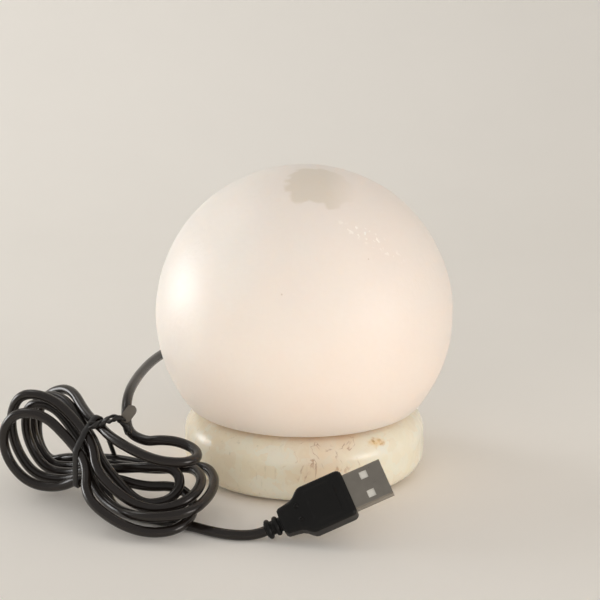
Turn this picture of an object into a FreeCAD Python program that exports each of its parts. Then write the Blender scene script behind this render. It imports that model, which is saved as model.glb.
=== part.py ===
import FreeCAD, Part
import math
import os
import re

from FreeCAD import Placement, Rotation, Vector

# Salt lamp on a stone puck, run from a captive USB cord.
# Millimetres, +Z up, origin on the floor under the middle of the base, front towards -Y.

doc = FreeCAD.newDocument("salt_lamp")
sheet = doc.addObject("Spreadsheet::Sheet", "Sizes")

SIZES = (
    # carved salt ball, standing on its flat cut
    ("ball_radius", 50.0),
    ("ball_cut_depth", 31.5),
    ("ball_bore_depth", 28.0),
    ("ball_bore_gap", 1.5),
    ("ball_edge_round", 4.0),
    ("seat_gap", 0.2),
    # polished stone puck
    ("base_radius", 40.8),
    ("base_thickness", 22.5),
    ("base_top_round", 9.0),
    ("base_foot_round", 6.5),
    ("cavity_radius", 20.0),
    ("cavity_depth", 8.6),
    ("fit_gap", 0.3),
    # felt under the base
    ("pad_radius", 33.0),
    ("pad_thickness", 1.0),
    # moulded holder for the lights
    ("flange_radius", 18.0),
    ("flange_thickness", 2.0),
    ("flange_sink", 0.2),
    ("collar_radius", 15.0),
    ("collar_height", 6.0),
    ("holder_wall", 2.0),
    ("barrel_radius", 13.0),
    ("floor_rise", 2.0),
    ("wire_hole_radius", 2.5),
    # bottom cover and its screws
    ("cover_radius", 24.7),
    ("cover_thickness", 2.4),
    ("bolt_circle", 8.0),
    ("post_radius", 2.6),
    ("cover_screw_radius", 1.1),
    ("cover_screw_length", 16.0),
    ("cover_head_radius", 2.2),
    ("cover_head_height", 1.4),
    ("screw_gap", 0.2),
    ("thread_gap", 0.05),
    # circuit board and what is soldered to it
    ("board_gap", 0.4),
    ("board_thickness", 1.6),
    ("led_circle", 5.2),
    ("led_width", 3.5),
    ("led_depth", 2.8),
    ("led_height", 1.4),
    ("resistor_circle", 7.6),
    ("resistor_length", 3.2),
    ("resistor_width", 1.6),
    ("resistor_height", 0.6),
    ("board_screw_circle", 9.6),
    ("board_screw_radius", 0.9),
    ("board_screw_length", 4.6),
    ("board_head_radius", 1.8),
    ("board_head_height", 1.2),
    # frosted dome over the lights
    ("dome_radius", 13.5),
    ("dome_wall", 1.2),
    ("dome_lip", 1.2),
    ("dome_spigot", 1.5),
    # cord and its way into the base
    ("cord_diameter", 3.3),
    ("exit_height", 8.0),
    ("passage_gap", 0.3),
    ("grommet_radius", 3.6),
    ("grommet_seat_depth", 7.0),
    ("grommet_flange_radius", 4.6),
    ("grommet_flange", 1.3),
    ("grommet_taper", 7.3),
    ("grommet_tip_wall", 0.7),
    ("cord_end", 12.0),
    ("strain_width", 3.0),
    ("strain_wall", 1.3),
    ("strain_gap", 0.1),
    ("wire_diameter", 1.2),
    ("wire_pitch", 1.6),
    # plug
    ("boot_length", 7.4),
    ("boot_radius", 2.5),
    ("boot_rib_radius", 3.1),
    ("boot_rib_width", 0.9),
    ("boot_rib_pitch", 1.75),
    ("neck_width", 9.2),
    ("neck_thickness", 6.2),
    ("taper_length", 6.8),
    ("grip_width", 16.0),
    ("grip_thickness", 8.0),
    ("grip_length", 13.4),
    ("grip_corner", 2.0),
    ("nose_length", 1.2),
    ("nose_inset", 0.9),
    ("shell_width", 12.0),
    ("shell_thickness", 4.5),
    ("shell_wall", 0.3),
    ("shell_reach", 12.6),
    ("shell_root", 7.0),
    ("shell_corner", 0.6),
    ("window_side", 2.5),
    ("window_spread", 6.4),
    ("window_from_tip", 6.3),
    ("tongue_width", 11.1),
    ("tongue_thickness", 1.9),
    ("tongue_gap", 0.05),
    ("tongue_set_back", 0.8),
    ("contact_width", 1.0),
    ("contact_thickness", 0.2),
    ("contact_length", 9.0),
    ("contact_pitch", 2.3),
    # tie round the bundle
    ("tie_width", 2.6),
    ("tie_thickness", 0.7),
    ("tie_gap", 1.4),
    ("twist_radius", 1.2),
    ("paddle_length", 7.0),
    ("paddle_width", 3.4),
)

for row, (alias, value) in enumerate(SIZES, start=1):
    sheet.set("A%d" % row, alias)
    sheet.set("B%d" % row, str(value))
    sheet.setAlias("B%d" % row, alias)
doc.recompute()

NAMES = [alias for alias, value in SIZES]


def size(alias):
    """The value of one named size."""
    return float(sheet.get(alias))


def formula(text):
    """The text as an expression: each named size in it is read from the sheet."""
    def named(match):
        word = match.group(0)
        return "Sizes." + word if word in NAMES else word
    return re.sub(r"[A-Za-z_]\w*", named, text)


def bind(item, **values):
    """Binds properties of an object to formulas."""
    for name, text in values.items():
        item.setExpression(name, formula(text))


def stand(item, x="0", y="0", z="0"):
    """Binds the position of an object to formulas."""
    for axis, text in (("x", x), ("y", y), ("z", z)):
        if text != "0":
            item.setExpression("Placement.Base." + axis, formula(text))


def new_body(label):
    body = doc.addObject("PartDesign::Body", label)
    body.Label = label
    return body


def feature(body, kind, name, at=("0", "0", "0"), **values):
    """One primitive added to a body or taken from it."""
    item = body.newObject("PartDesign::" + kind, name)
    bind(item, **values)
    stand(item, *at)
    return item


def solid(kind, name, at=("0", "0", "0"), **values):
    """One plain solid outside a body."""
    item = doc.addObject("Part::" + kind, name)
    bind(item, **values)
    stand(item, *at)
    return item


def round_edges(body, name, radius, wanted):
    """Rounds those edges of a body's last feature that fit the description."""
    doc.recompute()
    last = body.Tip
    edges = [i for i, edge in enumerate(last.Shape.Edges, start=1) if wanted(edge)]
    item = body.newObject("PartDesign::Fillet", name)
    item.Base = (last, ["Edge%d" % i for i in edges])
    bind(item, Radius=radius)
    return item


def ring_edge(radius, height):
    """Describes a level circular edge about the middle."""
    def wanted(edge):
        if edge.Degenerated or not isinstance(edge.Curve, Part.Circle):
            return False
        curve = edge.Curve
        centre = curve.Center
        level = abs(centre.z - height) < 1e-4
        return level and abs(curve.Radius - radius) < 1e-4 and math.hypot(centre.x, centre.y) < 1e-4
    return wanted


def compound(label, members):
    item = doc.addObject("Part::Compound", label)
    item.Label = label
    item.Links = members
    return item


# Heights that several pieces share.
SEAT = "(pad_thickness + base_thickness)"
FLANGE_FOOT = "(%s - flange_thickness - flange_sink)" % SEAT
FLOOR_TOP = "(%s - flange_sink + floor_rise)" % SEAT
COLLAR_TOP = "(%s - flange_sink + collar_height)" % SEAT
COVER_TOP = "(pad_thickness + cover_thickness)"
BARREL_FOOT = "(%s + cavity_depth)" % COVER_TOP
BOARD_TOP = "(%s + board_thickness)" % FLOOR_TOP
BALL_CENTRE = "(%s + seat_gap + ball_cut_depth)" % SEAT

seat = size("pad_thickness") + size("base_thickness")
ball_foot = seat + size("seat_gap")
cover_top = size("pad_thickness") + size("cover_thickness")
floor_top = seat - size("flange_sink") + size("floor_rise")

POSTS = (30, 150, 270)


def around(radius, angle):
    """Formulas for a point on a circle about the middle."""
    return "%s * cos(%s)" % (radius, angle), "%s * sin(%s)" % (radius, angle)


# Salt ball: a sphere cut flat below and bored from there for the light.
ball = new_body("salt_ball")
feature(ball, "AdditiveSphere", "BallSphere", ("0", "0", BALL_CENTRE), Radius="ball_radius",
        Angle1="-asin(ball_cut_depth / ball_radius)")
feature(ball, "SubtractiveCylinder", "BallBore", ("0", "0", SEAT + " + seat_gap"),
        Radius="collar_radius + ball_bore_gap", Height="ball_bore_depth")
cut_radius = math.sqrt(size("ball_radius") ** 2 - size("ball_cut_depth") ** 2)
round_edges(ball, "BallEdge", "ball_edge_round", ring_edge(cut_radius, ball_foot))

# Stone base: a turned puck with a rounded shoulder, hollow below for the wiring.
base = new_body("stone_base")
feature(base, "AdditiveCylinder", "BasePuck", ("0", "0", "pad_thickness"), Radius="base_radius",
        Height="base_thickness")
round_edges(base, "BaseShoulder", "base_top_round", ring_edge(size("base_radius"), seat))
round_edges(base, "BaseFoot", "base_foot_round",
            ring_edge(size("base_radius"), size("pad_thickness")))
feature(base, "SubtractiveCylinder", "BaseTopSeat", ("0", "0", FLANGE_FOOT),
        Radius="flange_radius + fit_gap", Height="flange_thickness + flange_sink")
feature(base, "SubtractiveCylinder", "BaseBore", ("0", "0", "pad_thickness"),
        Radius="barrel_radius + fit_gap", Height="base_thickness")
feature(base, "SubtractiveCylinder", "BaseCoverSeat", ("0", "0", "pad_thickness"),
        Radius="cover_radius + fit_gap", Height="cover_thickness")
feature(base, "SubtractiveCylinder", "BaseCavity", ("0", "0", "pad_thickness"),
        Radius="cavity_radius", Height="cover_thickness + cavity_depth")
BACKWARD = Rotation(Vector(1, 0, 0), -90)
passage = feature(base, "SubtractiveCylinder", "BasePassage",
                  Radius="cord_diameter / 2 + passage_gap", Height="base_radius")
passage.Placement = Placement(Vector(0, 0, 0), BACKWARD)
stand(passage, z="exit_height")
seat_hole = feature(base, "SubtractiveCylinder", "BaseGrommetSeat",
                    Radius="grommet_radius + thread_gap", Height="grommet_seat_depth + 2")
seat_hole.Placement = Placement(Vector(0, 0, 0), BACKWARD)
stand(seat_hole, y="base_radius - grommet_seat_depth", z="exit_height")

# Felt pad glued under the base.
pad = new_body("felt_pad")
feature(pad, "AdditiveCylinder", "PadDisc", Radius="pad_radius", Height="pad_thickness")

# Holder: flange on the stone, collar up into the ball, barrel down the bore with three bosses.
holder = new_body("led_holder")
feature(holder, "AdditiveCylinder", "HolderFlange", ("0", "0", FLANGE_FOOT), Radius="flange_radius",
        Height="flange_thickness")
feature(holder, "AdditiveCylinder", "HolderCollar", ("0", "0", FLANGE_FOOT), Radius="collar_radius",
        Height="flange_thickness + collar_height")
feature(holder, "AdditiveCylinder", "HolderBarrel", ("0", "0", BARREL_FOOT), Radius="barrel_radius",
        Height="%s - %s" % (FLANGE_FOOT, BARREL_FOOT))
feature(holder, "SubtractiveCylinder", "HolderCup", ("0", "0", FLOOR_TOP),
        Radius="collar_radius - holder_wall", Height="collar_height")
feature(holder, "SubtractiveCylinder", "HolderHollow", ("0", "0", BARREL_FOOT),
        Radius="barrel_radius - holder_wall", Height="%s - %s" % (FLANGE_FOOT, BARREL_FOOT))
for number, angle in enumerate(POSTS, start=1):
    x, y = around("bolt_circle", angle)
    feature(holder, "AdditiveCylinder", "HolderBoss%d" % number, (x, y, BARREL_FOOT),
            Radius="post_radius", Height="%s - %s" % (FLANGE_FOOT, BARREL_FOOT))
    feature(holder, "SubtractiveCylinder", "HolderPilot%d" % number, (x, y, BARREL_FOOT),
            Radius="cover_screw_radius + thread_gap",
            Height="%s - %s" % (FLANGE_FOOT, BARREL_FOOT))
feature(holder, "SubtractiveCylinder", "HolderWireHole", ("0", "0", BARREL_FOOT),
        Radius="wire_hole_radius", Height="%s - %s + 1" % (FLOOR_TOP, BARREL_FOOT))
for number, side in enumerate((-1, 1), start=1):
    feature(holder, "SubtractiveCylinder", "HolderBoardPilot%d" % number,
            ("%d * board_screw_circle" % side, "0", FLANGE_FOOT),
            Radius="board_screw_radius + thread_gap", Height="%s - %s" % (FLOOR_TOP, FLANGE_FOOT))

# Circuit board on the holder's floor.
board = new_body("led_board")
feature(board, "AdditiveCylinder", "BoardDisc", ("0", "0", FLOOR_TOP),
        Radius="collar_radius - holder_wall - board_gap", Height="board_thickness")
for number, side in enumerate((-1, 1), start=1):
    feature(board, "SubtractiveCylinder", "BoardHole%d" % number,
            ("%d * board_screw_circle" % side, "0", FLOOR_TOP),
            Radius="board_screw_radius + screw_gap", Height="board_thickness")

chips = []
for number, angle in enumerate((90, 210, 330), start=1):
    x, y = around("led_circle", angle)
    chip = solid("Box", "LedChip%d" % number, (x + " - led_width / 2", y + " - led_depth / 2", BOARD_TOP),
                 Length="led_width", Width="led_depth", Height="led_height")
    chips.append(chip)
compound("led_chips", chips)

resistors = []
for number, angle in enumerate((30, 150), start=1):
    x, y = around("resistor_circle", angle)
    resistor = solid("Box", "Resistor%d" % number,
                     (x + " - resistor_width / 2", y + " - resistor_length / 2", BOARD_TOP),
                     Length="resistor_width", Width="resistor_length", Height="resistor_height")
    resistors.append(resistor)
compound("board_resistors", resistors)


def screws(label, places, head, shank):
    """A group of like screws: each is a head and a shank made one."""
    made = []
    for number, (x, y) in enumerate(places, start=1):
        name = "%s_%d" % (label, number)
        top = solid("Cylinder", name + "_head", (x, y, head[0]), Radius=head[1], Height=head[2])
        stem = solid("Cylinder", name + "_shank", (x, y, shank[0]), Radius=shank[1], Height=shank[2])
        screw = doc.addObject("Part::Fuse", name)
        screw.Base = top
        screw.Tool = stem
        made.append(screw)
    return compound(label, made)


screws("board_screws", [("%d * board_screw_circle" % side, "0") for side in (-1, 1)],
       (BOARD_TOP, "board_head_radius", "board_head_height"),
       (BOARD_TOP + " - board_screw_length", "board_screw_radius", "board_screw_length"))

# Frosted dome: half a hollow sphere on a lip, with a spigot down into the collar.
dome = new_body("diffuser_dome")
DOME_FOOT = "(%s + dome_lip)" % COLLAR_TOP
feature(dome, "AdditiveCylinder", "DomeLip", ("0", "0", COLLAR_TOP), Radius="collar_radius",
        Height="dome_lip")
feature(dome, "AdditiveSphere", "DomeOutside", ("0", "0", DOME_FOOT), Radius="dome_radius",
        Angle1="0")
feature(dome, "AdditiveCylinder", "DomeSpigot", ("0", "0", COLLAR_TOP + " - dome_spigot"),
        Radius="collar_radius - holder_wall - fit_gap", Height="dome_spigot + dome_lip")
feature(dome, "SubtractiveSphere", "DomeInside", ("0", "0", DOME_FOOT),
        Radius="dome_radius - dome_wall", Angle1="0")
feature(dome, "SubtractiveCylinder", "DomeMouth", ("0", "0", COLLAR_TOP + " - dome_spigot"),
        Radius="collar_radius - holder_wall - fit_gap - dome_wall", Height="dome_spigot + dome_lip")

# Bottom cover with three posts; its screws pull the holder down on the stone.
cover = new_body("bottom_cover")
feature(cover, "AdditiveCylinder", "CoverDisc", ("0", "0", "pad_thickness"), Radius="cover_radius",
        Height="cover_thickness")
for number, angle in enumerate(POSTS, start=1):
    x, y = around("bolt_circle", angle)
    feature(cover, "AdditiveCylinder", "CoverPost%d" % number, (x, y, "pad_thickness"),
            Radius="post_radius", Height="cover_thickness + cavity_depth - screw_gap")
for number, angle in enumerate(POSTS, start=1):
    x, y = around("bolt_circle", angle)
    feature(cover, "SubtractiveCylinder", "CoverHole%d" % number, (x, y, "pad_thickness"),
            Radius="cover_screw_radius + screw_gap", Height="cover_thickness + cavity_depth")
    feature(cover, "SubtractiveCylinder", "CoverRecess%d" % number, (x, y, "pad_thickness"),
            Radius="cover_head_radius + screw_gap", Height="cover_head_height")
screws("cover_screws", [around("bolt_circle", angle) for angle in POSTS],
       ("pad_thickness", "cover_head_radius", "cover_head_height"),
       ("pad_thickness + cover_head_height", "cover_screw_radius", "cover_screw_length"))

# Grommet in the back of the base, made along its own axis and turned to face backward.
grommet = new_body("cord_grommet")
feature(grommet, "AdditiveCylinder", "GrommetPlug", Radius="grommet_radius",
        Height="grommet_seat_depth + thread_gap")
feature(grommet, "AdditiveCylinder", "GrommetFlange",
        ("0", "0", "grommet_seat_depth + thread_gap"), Radius="grommet_flange_radius",
        Height="grommet_flange")
feature(grommet, "AdditiveCone", "GrommetTaper",
        ("0", "0", "grommet_seat_depth + thread_gap + grommet_flange"), Radius1="grommet_radius",
        Radius2="cord_diameter / 2 + grommet_tip_wall", Height="grommet_taper")
feature(grommet, "SubtractiveCylinder", "GrommetHole", Radius="cord_diameter / 2",
        Height="grommet_seat_depth + thread_gap + grommet_flange + grommet_taper")
grommet.Placement = Placement(Vector(0, 0, 0), BACKWARD)
stand(grommet, y="base_radius - grommet_seat_depth", z="exit_height")

EXIT_Y = "(base_radius + thread_gap + grommet_flange + grommet_taper)"
exit_y = size("base_radius") + size("thread_gap") + size("grommet_flange") + size("grommet_taper")

# Cord through the passage, as far as the end of the grommet.
inner = solid("Cylinder", "cord_inner", Radius="cord_diameter / 2", Height=EXIT_Y + " - cord_end")
inner.Label = "cord_inner"
inner.Placement = Placement(Vector(0, 0, 0), BACKWARD)
stand(inner, y="cord_end", z="exit_height")

# Cable tie on the cord inside the base: wider than the passage, it keeps the cord from pulling out.
strain = new_body("strain_tie")
feature(strain, "AdditiveCylinder", "StrainBand",
        Radius="cord_diameter / 2 + strain_gap + strain_wall", Height="strain_width")
feature(strain, "AdditiveBox", "StrainHead",
        ("-strain_width * 0.7", "cord_diameter / 2 + strain_gap", "-strain_width * 0.1"),
        Length="strain_width * 1.4", Width="strain_wall + 1.4", Height="strain_width * 1.2")
feature(strain, "SubtractiveCylinder", "StrainHole", ("0", "0", "-strain_width"),
        Radius="cord_diameter / 2 + strain_gap", Height="strain_width * 3")
strain.Placement = Placement(Vector(0, 0, 0), BACKWARD)
stand(strain, y="cord_end + strain_width * 0.8", z="exit_height")


def unit(vector):
    return Vector(vector).normalize()


def arc_through(start, middle, end):
    return Part.Arc(start, middle, end).toShape()


def rounded_route(points):
    """Straight runs through the points, joined by tangent arcs that nearly use up the shorter run."""
    edges = []
    radii = []
    here = points[0]
    for before, corner, after in zip(points, points[1:], points[2:]):
        into = unit(corner - before)
        out = unit(after - corner)
        half = into.getAngle(out) / 2
        reach = 0.45 * min((corner - before).Length, (after - corner).Length)
        radius = reach / math.tan(half)
        inward = unit(out - into)
        first = corner - into * reach
        last = corner + out * reach
        middle = corner + inward * (radius / math.cos(half) - radius)
        edges.append(Part.LineSegment(here, first).toShape())
        edges.append(arc_through(first, middle, last))
        radii.append(radius)
        here = last
    edges.append(Part.LineSegment(here, points[-1]).toShape())
    return edges, radii


def tube(label, edges, diameter):
    """A round tube along joined edges, as a document object of its own."""
    wire = Part.Wire(edges)
    start = wire.Edges[0].Vertexes[0].Point
    heading = edges[0].tangentAt(edges[0].FirstParameter)
    ring = Part.Wire(Part.makeCircle(diameter / 2, start, heading))
    shape = wire.makePipeShell([ring], True, False)
    if shape.ShapeType != "Solid":
        shape = shape.Solids[0]
    if shape.Volume < 0:
        shape.reverse()
    plain = math.pi * diameter ** 2 / 4 * wire.Length
    print("%s: length %.1f, volume / plain %.4f, lowest %.2f"
          % (label, wire.Length, shape.Volume / plain,
             shape.optimalBoundingBox().ZMin))
    item = doc.addObject("Part::Feature", label)
    item.Label = label
    item.Shape = shape
    return item


# Two wires from the end of the cord up to the underside of the board.
exit_z = size("exit_height")
for label, side in (("wire_positive", 1), ("wire_negative", -1)):
    offset = side * size("wire_pitch") / 2
    wire_route = [
        Vector(offset, size("cord_end"), exit_z),
        Vector(offset, 0.5, exit_z),
        Vector(offset, 0.5, floor_top),
    ]
    wire_edges, wire_radii = rounded_route(wire_route)
    tube(label, wire_edges, size("wire_diameter"))

cord = size("cord_diameter")


# The bundle: the cord goes to and fro through the tie, with five loops on each side of it.
BUNDLE_START = Vector(-58.1, -26.0, 32.0)
BUNDLE_IN = unit(Vector(0.03, -0.98, -0.2))
BUNDLE_END = Vector(-56.5, -49.5, 1.9)
BUNDLE_OUT = unit(Vector(0.8, -0.6, -0.02))

# Loops in the cord's order: the middle, the way from it to the tip and the way to the arriving side.
RIGHT_LOOPS = (
    (Vector(-42.9, -49.8, 23.3), Vector(8.7, 0.2, -1.1), Vector(-1.1, 7.8, 0.9)),
    (Vector(-40.2, -51.1, 10.4), Vector(11.0, 0.7, 0.8), Vector(2.1, 16.6, 2.2)),
    (Vector(-46.9, -49.4, 11.7), Vector(7.0, -0.9, 0.7), Vector(0.4, 5.2, 4.3)),
    (Vector(-42.6, -51.1, 11.4), Vector(9.5, -1.9, 1.8), Vector(1.6, 11.1, 2.7)),
    (Vector(-45.6, -56.8, 6.4), Vector(10.3, 0.5, 0.3), Vector(-0.4, 11.8, 3.2)),
)
LEFT_LOOPS = (
    (Vector(-80.6, -11.8, 19.0), Vector(-7.3, 6.3, -4.0), Vector(0.2, -0.2, 12.3)),
    (Vector(-84.9, -22.5, 18.2), Vector(-7.8, 5.0, -0.5), Vector(-2.2, -0.5, 12.1)),
    (Vector(-83.4, -17.1, 18.7), Vector(-8.1, 5.6, -1.6), Vector(-1.5, -0.2, 12.4)),
    (Vector(-86.7, -27.0, 20.2), Vector(-10.2, 4.5, 0.0), Vector(-2.0, 0.0, 14.6)),
    (Vector(-87.8, -32.4, 17.5), Vector(-11.1, 4.4, -0.3), Vector(-2.1, 0.6, 12.5)),
)

# Places in front of the bundle where the cord climbs from each right loop to the tie.
CLIMBS = (
    Vector(-60.8, -47.5, 26.6),
    Vector(-66.9, -48.5, 10.3),
    Vector(-63.3, -45.0, 15.4),
    Vector(-64.0, -53.0, 15.4),
    Vector(-65.1, -61.5, 8.5),
)

# Places where the cord passes through the tie: five at the front going left, five behind coming back.
FRONT_PASSES = (
    Vector(-66.9, -38.2, 28.4),
    Vector(-72.4, -36.5, 20.8),
    Vector(-70.2, -34.8, 24.3),
    Vector(-70.1, -40.5, 25.1),
    Vector(-73.3, -42.3, 21.0),
)
BACK_PASSES = (
    Vector(-69.1, -23.1, 11.2),
    Vector(-68.1, -33.3, 11.0),
    Vector(-68.6, -28.3, 11.0),
    Vector(-67.6, -38.4, 10.5),
    Vector(-67.2, -43.3, 9.6),
)


def loop_stations(middle, tip, side):
    """Where a loop leaves, turns and comes back, each a point and a direction."""
    return [
        (middle + side, unit(tip)),
        (middle + tip, unit(side * -1)),
        (middle - side, unit(tip * -1)),
    ]


def heading_at(before, here, after):
    """The direction of the circle through three points at the middle one."""
    into = here - before
    out = after - here
    return unit(unit(into) * out.Length + unit(out) * into.Length)


def bundle_stations():
    """All points and directions of the bundled cord in order."""
    stations = [(BUNDLE_START + BUNDLE_IN * cord, BUNDLE_IN)]
    turns = len(RIGHT_LOOPS)
    for turn in range(turns):
        right = loop_stations(*RIGHT_LOOPS[turn])
        left = loop_stations(*LEFT_LOOPS[turn])
        climb = CLIMBS[turn]
        front = FRONT_PASSES[turn]
        back = BACK_PASSES[turn]
        after = BUNDLE_END
        if turn + 1 < turns:
            after = loop_stations(*RIGHT_LOOPS[turn + 1])[0][0]
        stations.extend(right)
        stations.append((climb, heading_at(right[2][0], climb, front)))
        stations.append((front, heading_at(climb, front, left[0][0])))
        stations.extend(left)
        stations.append((back, heading_at(left[2][0], back, after)))
    stations.append((BUNDLE_END - BUNDLE_OUT * cord, BUNDLE_OUT))
    return stations


def arc_from(start, heading, end):
    """The arc that leaves a point in a direction and ends at another point, and its radius."""
    chord = end - start
    bend = heading.getAngle(chord)
    if bend < 1e-6:
        return Part.LineSegment(start, end).toShape(), 1e6
    radius = chord.Length / (2 * math.sin(bend))
    inward = unit(chord - heading * chord.dot(heading))
    middle = start + heading * (radius * math.sin(bend)) + inward * (radius * (1 - math.cos(bend)))
    return arc_through(start, middle, end), radius


def two_arcs(start, heading, end, arriving):
    """A pair of tangent arcs between two points with given directions."""
    across = end - start
    total = heading + arriving
    spread = 2 * (1 - heading.dot(arriving))
    along = across.dot(total)
    if spread < 1e-9:
        reach = across.dot(across) / (2 * along)
    else:
        reach = (math.sqrt(along ** 2 + spread * across.dot(across)) - along) / spread
    joint = (start + heading * reach + end - arriving * reach) * 0.5
    onward = unit((end - arriving * reach) - (start + heading * reach))
    first, first_radius = arc_from(start, heading, joint)
    second, second_radius = arc_from(joint, onward, end)
    return [first, second], [first_radius, second_radius]


def least_gap(edges, diameter, skip):
    """The least clear distance of a tube from itself, measured on points along its middle."""
    points = []
    for edge in edges:
        count = max(2, int(edge.Length / 0.8))
        low = edge.FirstParameter
        high = edge.LastParameter
        points.extend(edge.valueAt(low + (high - low) * k / count) for k in range(count))
    run = [0.0]
    for one, two in zip(points, points[1:]):
        run.append(run[-1] + (two - one).Length)
    best = 1e9
    for i, one in enumerate(points):
        for j in range(i + 1, len(points)):
            if run[j] - run[i] > skip:
                best = min(best, (points[j] - one).Length)
    return best - diameter


stations = bundle_stations()
bundle_edges = [Part.LineSegment(BUNDLE_START, stations[0][0]).toShape()]
bundle_radii = []
for (start, heading), (end, arriving) in zip(stations, stations[1:]):
    arcs, arc_radii = two_arcs(start, heading, end, arriving)
    bundle_edges.extend(arcs)
    bundle_radii.extend(arc_radii)
bundle_edges.append(Part.LineSegment(stations[-1][0], BUNDLE_END).toShape())
print("bundle: least radius %.2f, least gap %.2f"
      % (min(bundle_radii), least_gap(bundle_edges, cord, 4 * cord)))
tube("cord_hank", bundle_edges, cord)

# Twist tie: a flat band round all the passes, a short twist above the front one, a flat end.
TIE_MIDDLE = Vector(-70.0, -37.0, 17.0)
TIE_ACROSS = unit(Vector(0.85, -0.5, -0.2))
TIE_SIDE = unit(Vector(0, 0, 1).cross(TIE_ACROSS))
TIE_UP = TIE_ACROSS.cross(TIE_SIDE)
TWIST_END = Vector(-57.9, -43.5, 30.3)
PADDLE_ALONG = unit(Vector(3.9, 1.5, 5.2))
PADDLE_FACE = unit(Vector(0.0, -0.96, 0.28))


def passes_through_tie(edges):
    """Where the bundled cord crosses the plane of the tie, as points in that plane."""
    places = []
    for edge in edges:
        low = edge.FirstParameter
        high = edge.LastParameter
        points = [edge.valueAt(low + (high - low) * k / 40) for k in range(41)]
        for one, two in zip(points, points[1:]):
            one_side = (one - TIE_MIDDLE).dot(TIE_ACROSS)
            two_side = (two - TIE_MIDDLE).dot(TIE_ACROSS)
            if one_side * two_side > 0 or one_side == two_side:
                continue
            spot = one + (two - one) * (one_side / (one_side - two_side)) - TIE_MIDDLE
            places.append((spot.dot(TIE_SIDE), spot.dot(TIE_UP)))
    return places


def outline_of(places):
    """The outermost of the points, in order round them."""
    here = min(places)
    hull = []
    while here not in hull:
        hull.append(here)
        others = [place for place in places if place != here]
        best = others[0]
        for place in others[1:]:
            turn = ((best[0] - here[0]) * (place[1] - here[1])
                    - (best[1] - here[1]) * (place[0] - here[0]))
            if turn < 0:
                best = place
        here = best
    return hull


def on_tie(side, up, across):
    return TIE_MIDDLE + TIE_SIDE * side + TIE_UP * up + TIE_ACROSS * across


tie_places = passes_through_tie(bundle_edges)
tie_half = size("tie_width") / 2
tie_corners = [on_tie(side, up, -tie_half) for side, up in outline_of(tie_places)]
tie_line = Part.makePolygon(tie_corners + tie_corners[:1])
tie_inside = cord / 2 + size("tie_gap")
tie_outside = tie_inside + size("tie_thickness")
band = Part.Face(tie_line.makeOffset2D(tie_outside)).cut(Part.Face(tie_line.makeOffset2D(tie_inside)))
band = band.extrude(TIE_ACROSS * size("tie_width"))

top_side, top_up = max(tie_places, key=lambda place: place[1])
twist_start = on_tie(top_side, top_up + tie_outside + size("twist_radius") / 2, 0)
twist_run = TWIST_END - twist_start
twist = Part.makeCylinder(size("twist_radius"), twist_run.Length, twist_start, twist_run)

paddle_half = size("paddle_width") / 2
paddle_side = unit(PADDLE_FACE.cross(PADDLE_ALONG))
paddle_normal = PADDLE_ALONG.cross(paddle_side)
paddle_foot = TWIST_END - paddle_normal * (size("tie_thickness") / 2)


def on_paddle(along, side):
    return paddle_foot + PADDLE_ALONG * along + paddle_side * side


paddle_straight = size("paddle_length") - paddle_half
paddle_corners = [
    on_paddle(paddle_straight, paddle_half),
    on_paddle(2.0, paddle_half),
    on_paddle(-0.8, paddle_half * 0.4),
    on_paddle(-0.8, -paddle_half * 0.4),
    on_paddle(2.0, -paddle_half),
    on_paddle(paddle_straight, -paddle_half),
]
paddle_edges = list(Part.makePolygon(paddle_corners).Edges)
paddle_edges.append(arc_through(paddle_corners[-1], on_paddle(size("paddle_length"), 0), paddle_corners[0]))
paddle = Part.Face(Part.Wire(paddle_edges)).extrude(paddle_normal * size("tie_thickness"))

twist_tie = doc.addObject("Part::Feature", "twist_tie")
twist_tie.Label = "twist_tie"
twist_tie.Shape = band.fuse([twist, paddle]).removeSplitter().Solids[0]

# Cord from the grommet round the back of the ball to the bundle.
LEAD_ROUTE = [
    Vector(0, exit_y, exit_z),
    Vector(0, exit_y + 7.5, exit_z),
    Vector(-3.2, 65.0, 9.8),
    Vector(-12.0, 69.5, 14.5),
    Vector(-23.0, 66.8, 20.5),
    Vector(-33.2, 58.6, 26.0),
    Vector(-41.2, 47.2, 29.6),
    Vector(-47.8, 34.2, 31.6),
    Vector(-52.0, 19.8, 32.8),
    Vector(-54.8, 5.8, 33.5),
    Vector(-56.8, -7.0, 33.7),
    BUNDLE_START - BUNDLE_IN * 6,
    BUNDLE_START,
]
lead_edges, lead_radii = rounded_route(LEAD_ROUTE)
print("lead: radii", ["%.1f" % radius for radius in lead_radii])
tube("cord_lead", lead_edges, cord)

# Plug: its frame has X along the cord to the tip, Y across the wide face and Z through it.
PLUG_FOOT = Vector(-12.0, -66.9, 3.0)
PLUG_TURN = (Rotation(Vector(0, 0, 1), 7) * Rotation(Vector(0, 1, 0), -23)
             * Rotation(Vector(1, 0, 0), 52))
PLUG_PLACE = Placement(PLUG_FOOT, PLUG_TURN)
plug_axis = PLUG_TURN.multVec(Vector(1, 0, 0))

# Cord along the floor from the bundle to the plug, passing under the lowest loop.
TAIL_ROUTE = [
    BUNDLE_END,
    BUNDLE_END + BUNDLE_OUT * 5,
    Vector(-48.5, -53.6, 1.75),
    Vector(-42.0, -56.6, 1.72),
    Vector(-35.5, -59.8, 1.72),
    Vector(-29.5, -64.2, 1.72),
    Vector(-22.5, -67.4, 1.72),
    PLUG_FOOT - plug_axis * 3.3,
    PLUG_FOOT,
]
tail_edges, tail_radii = rounded_route(TAIL_ROUTE)
print("tail: radii", ["%.1f" % radius for radius in tail_radii])
tube("cord_tail", tail_edges, cord)


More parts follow.
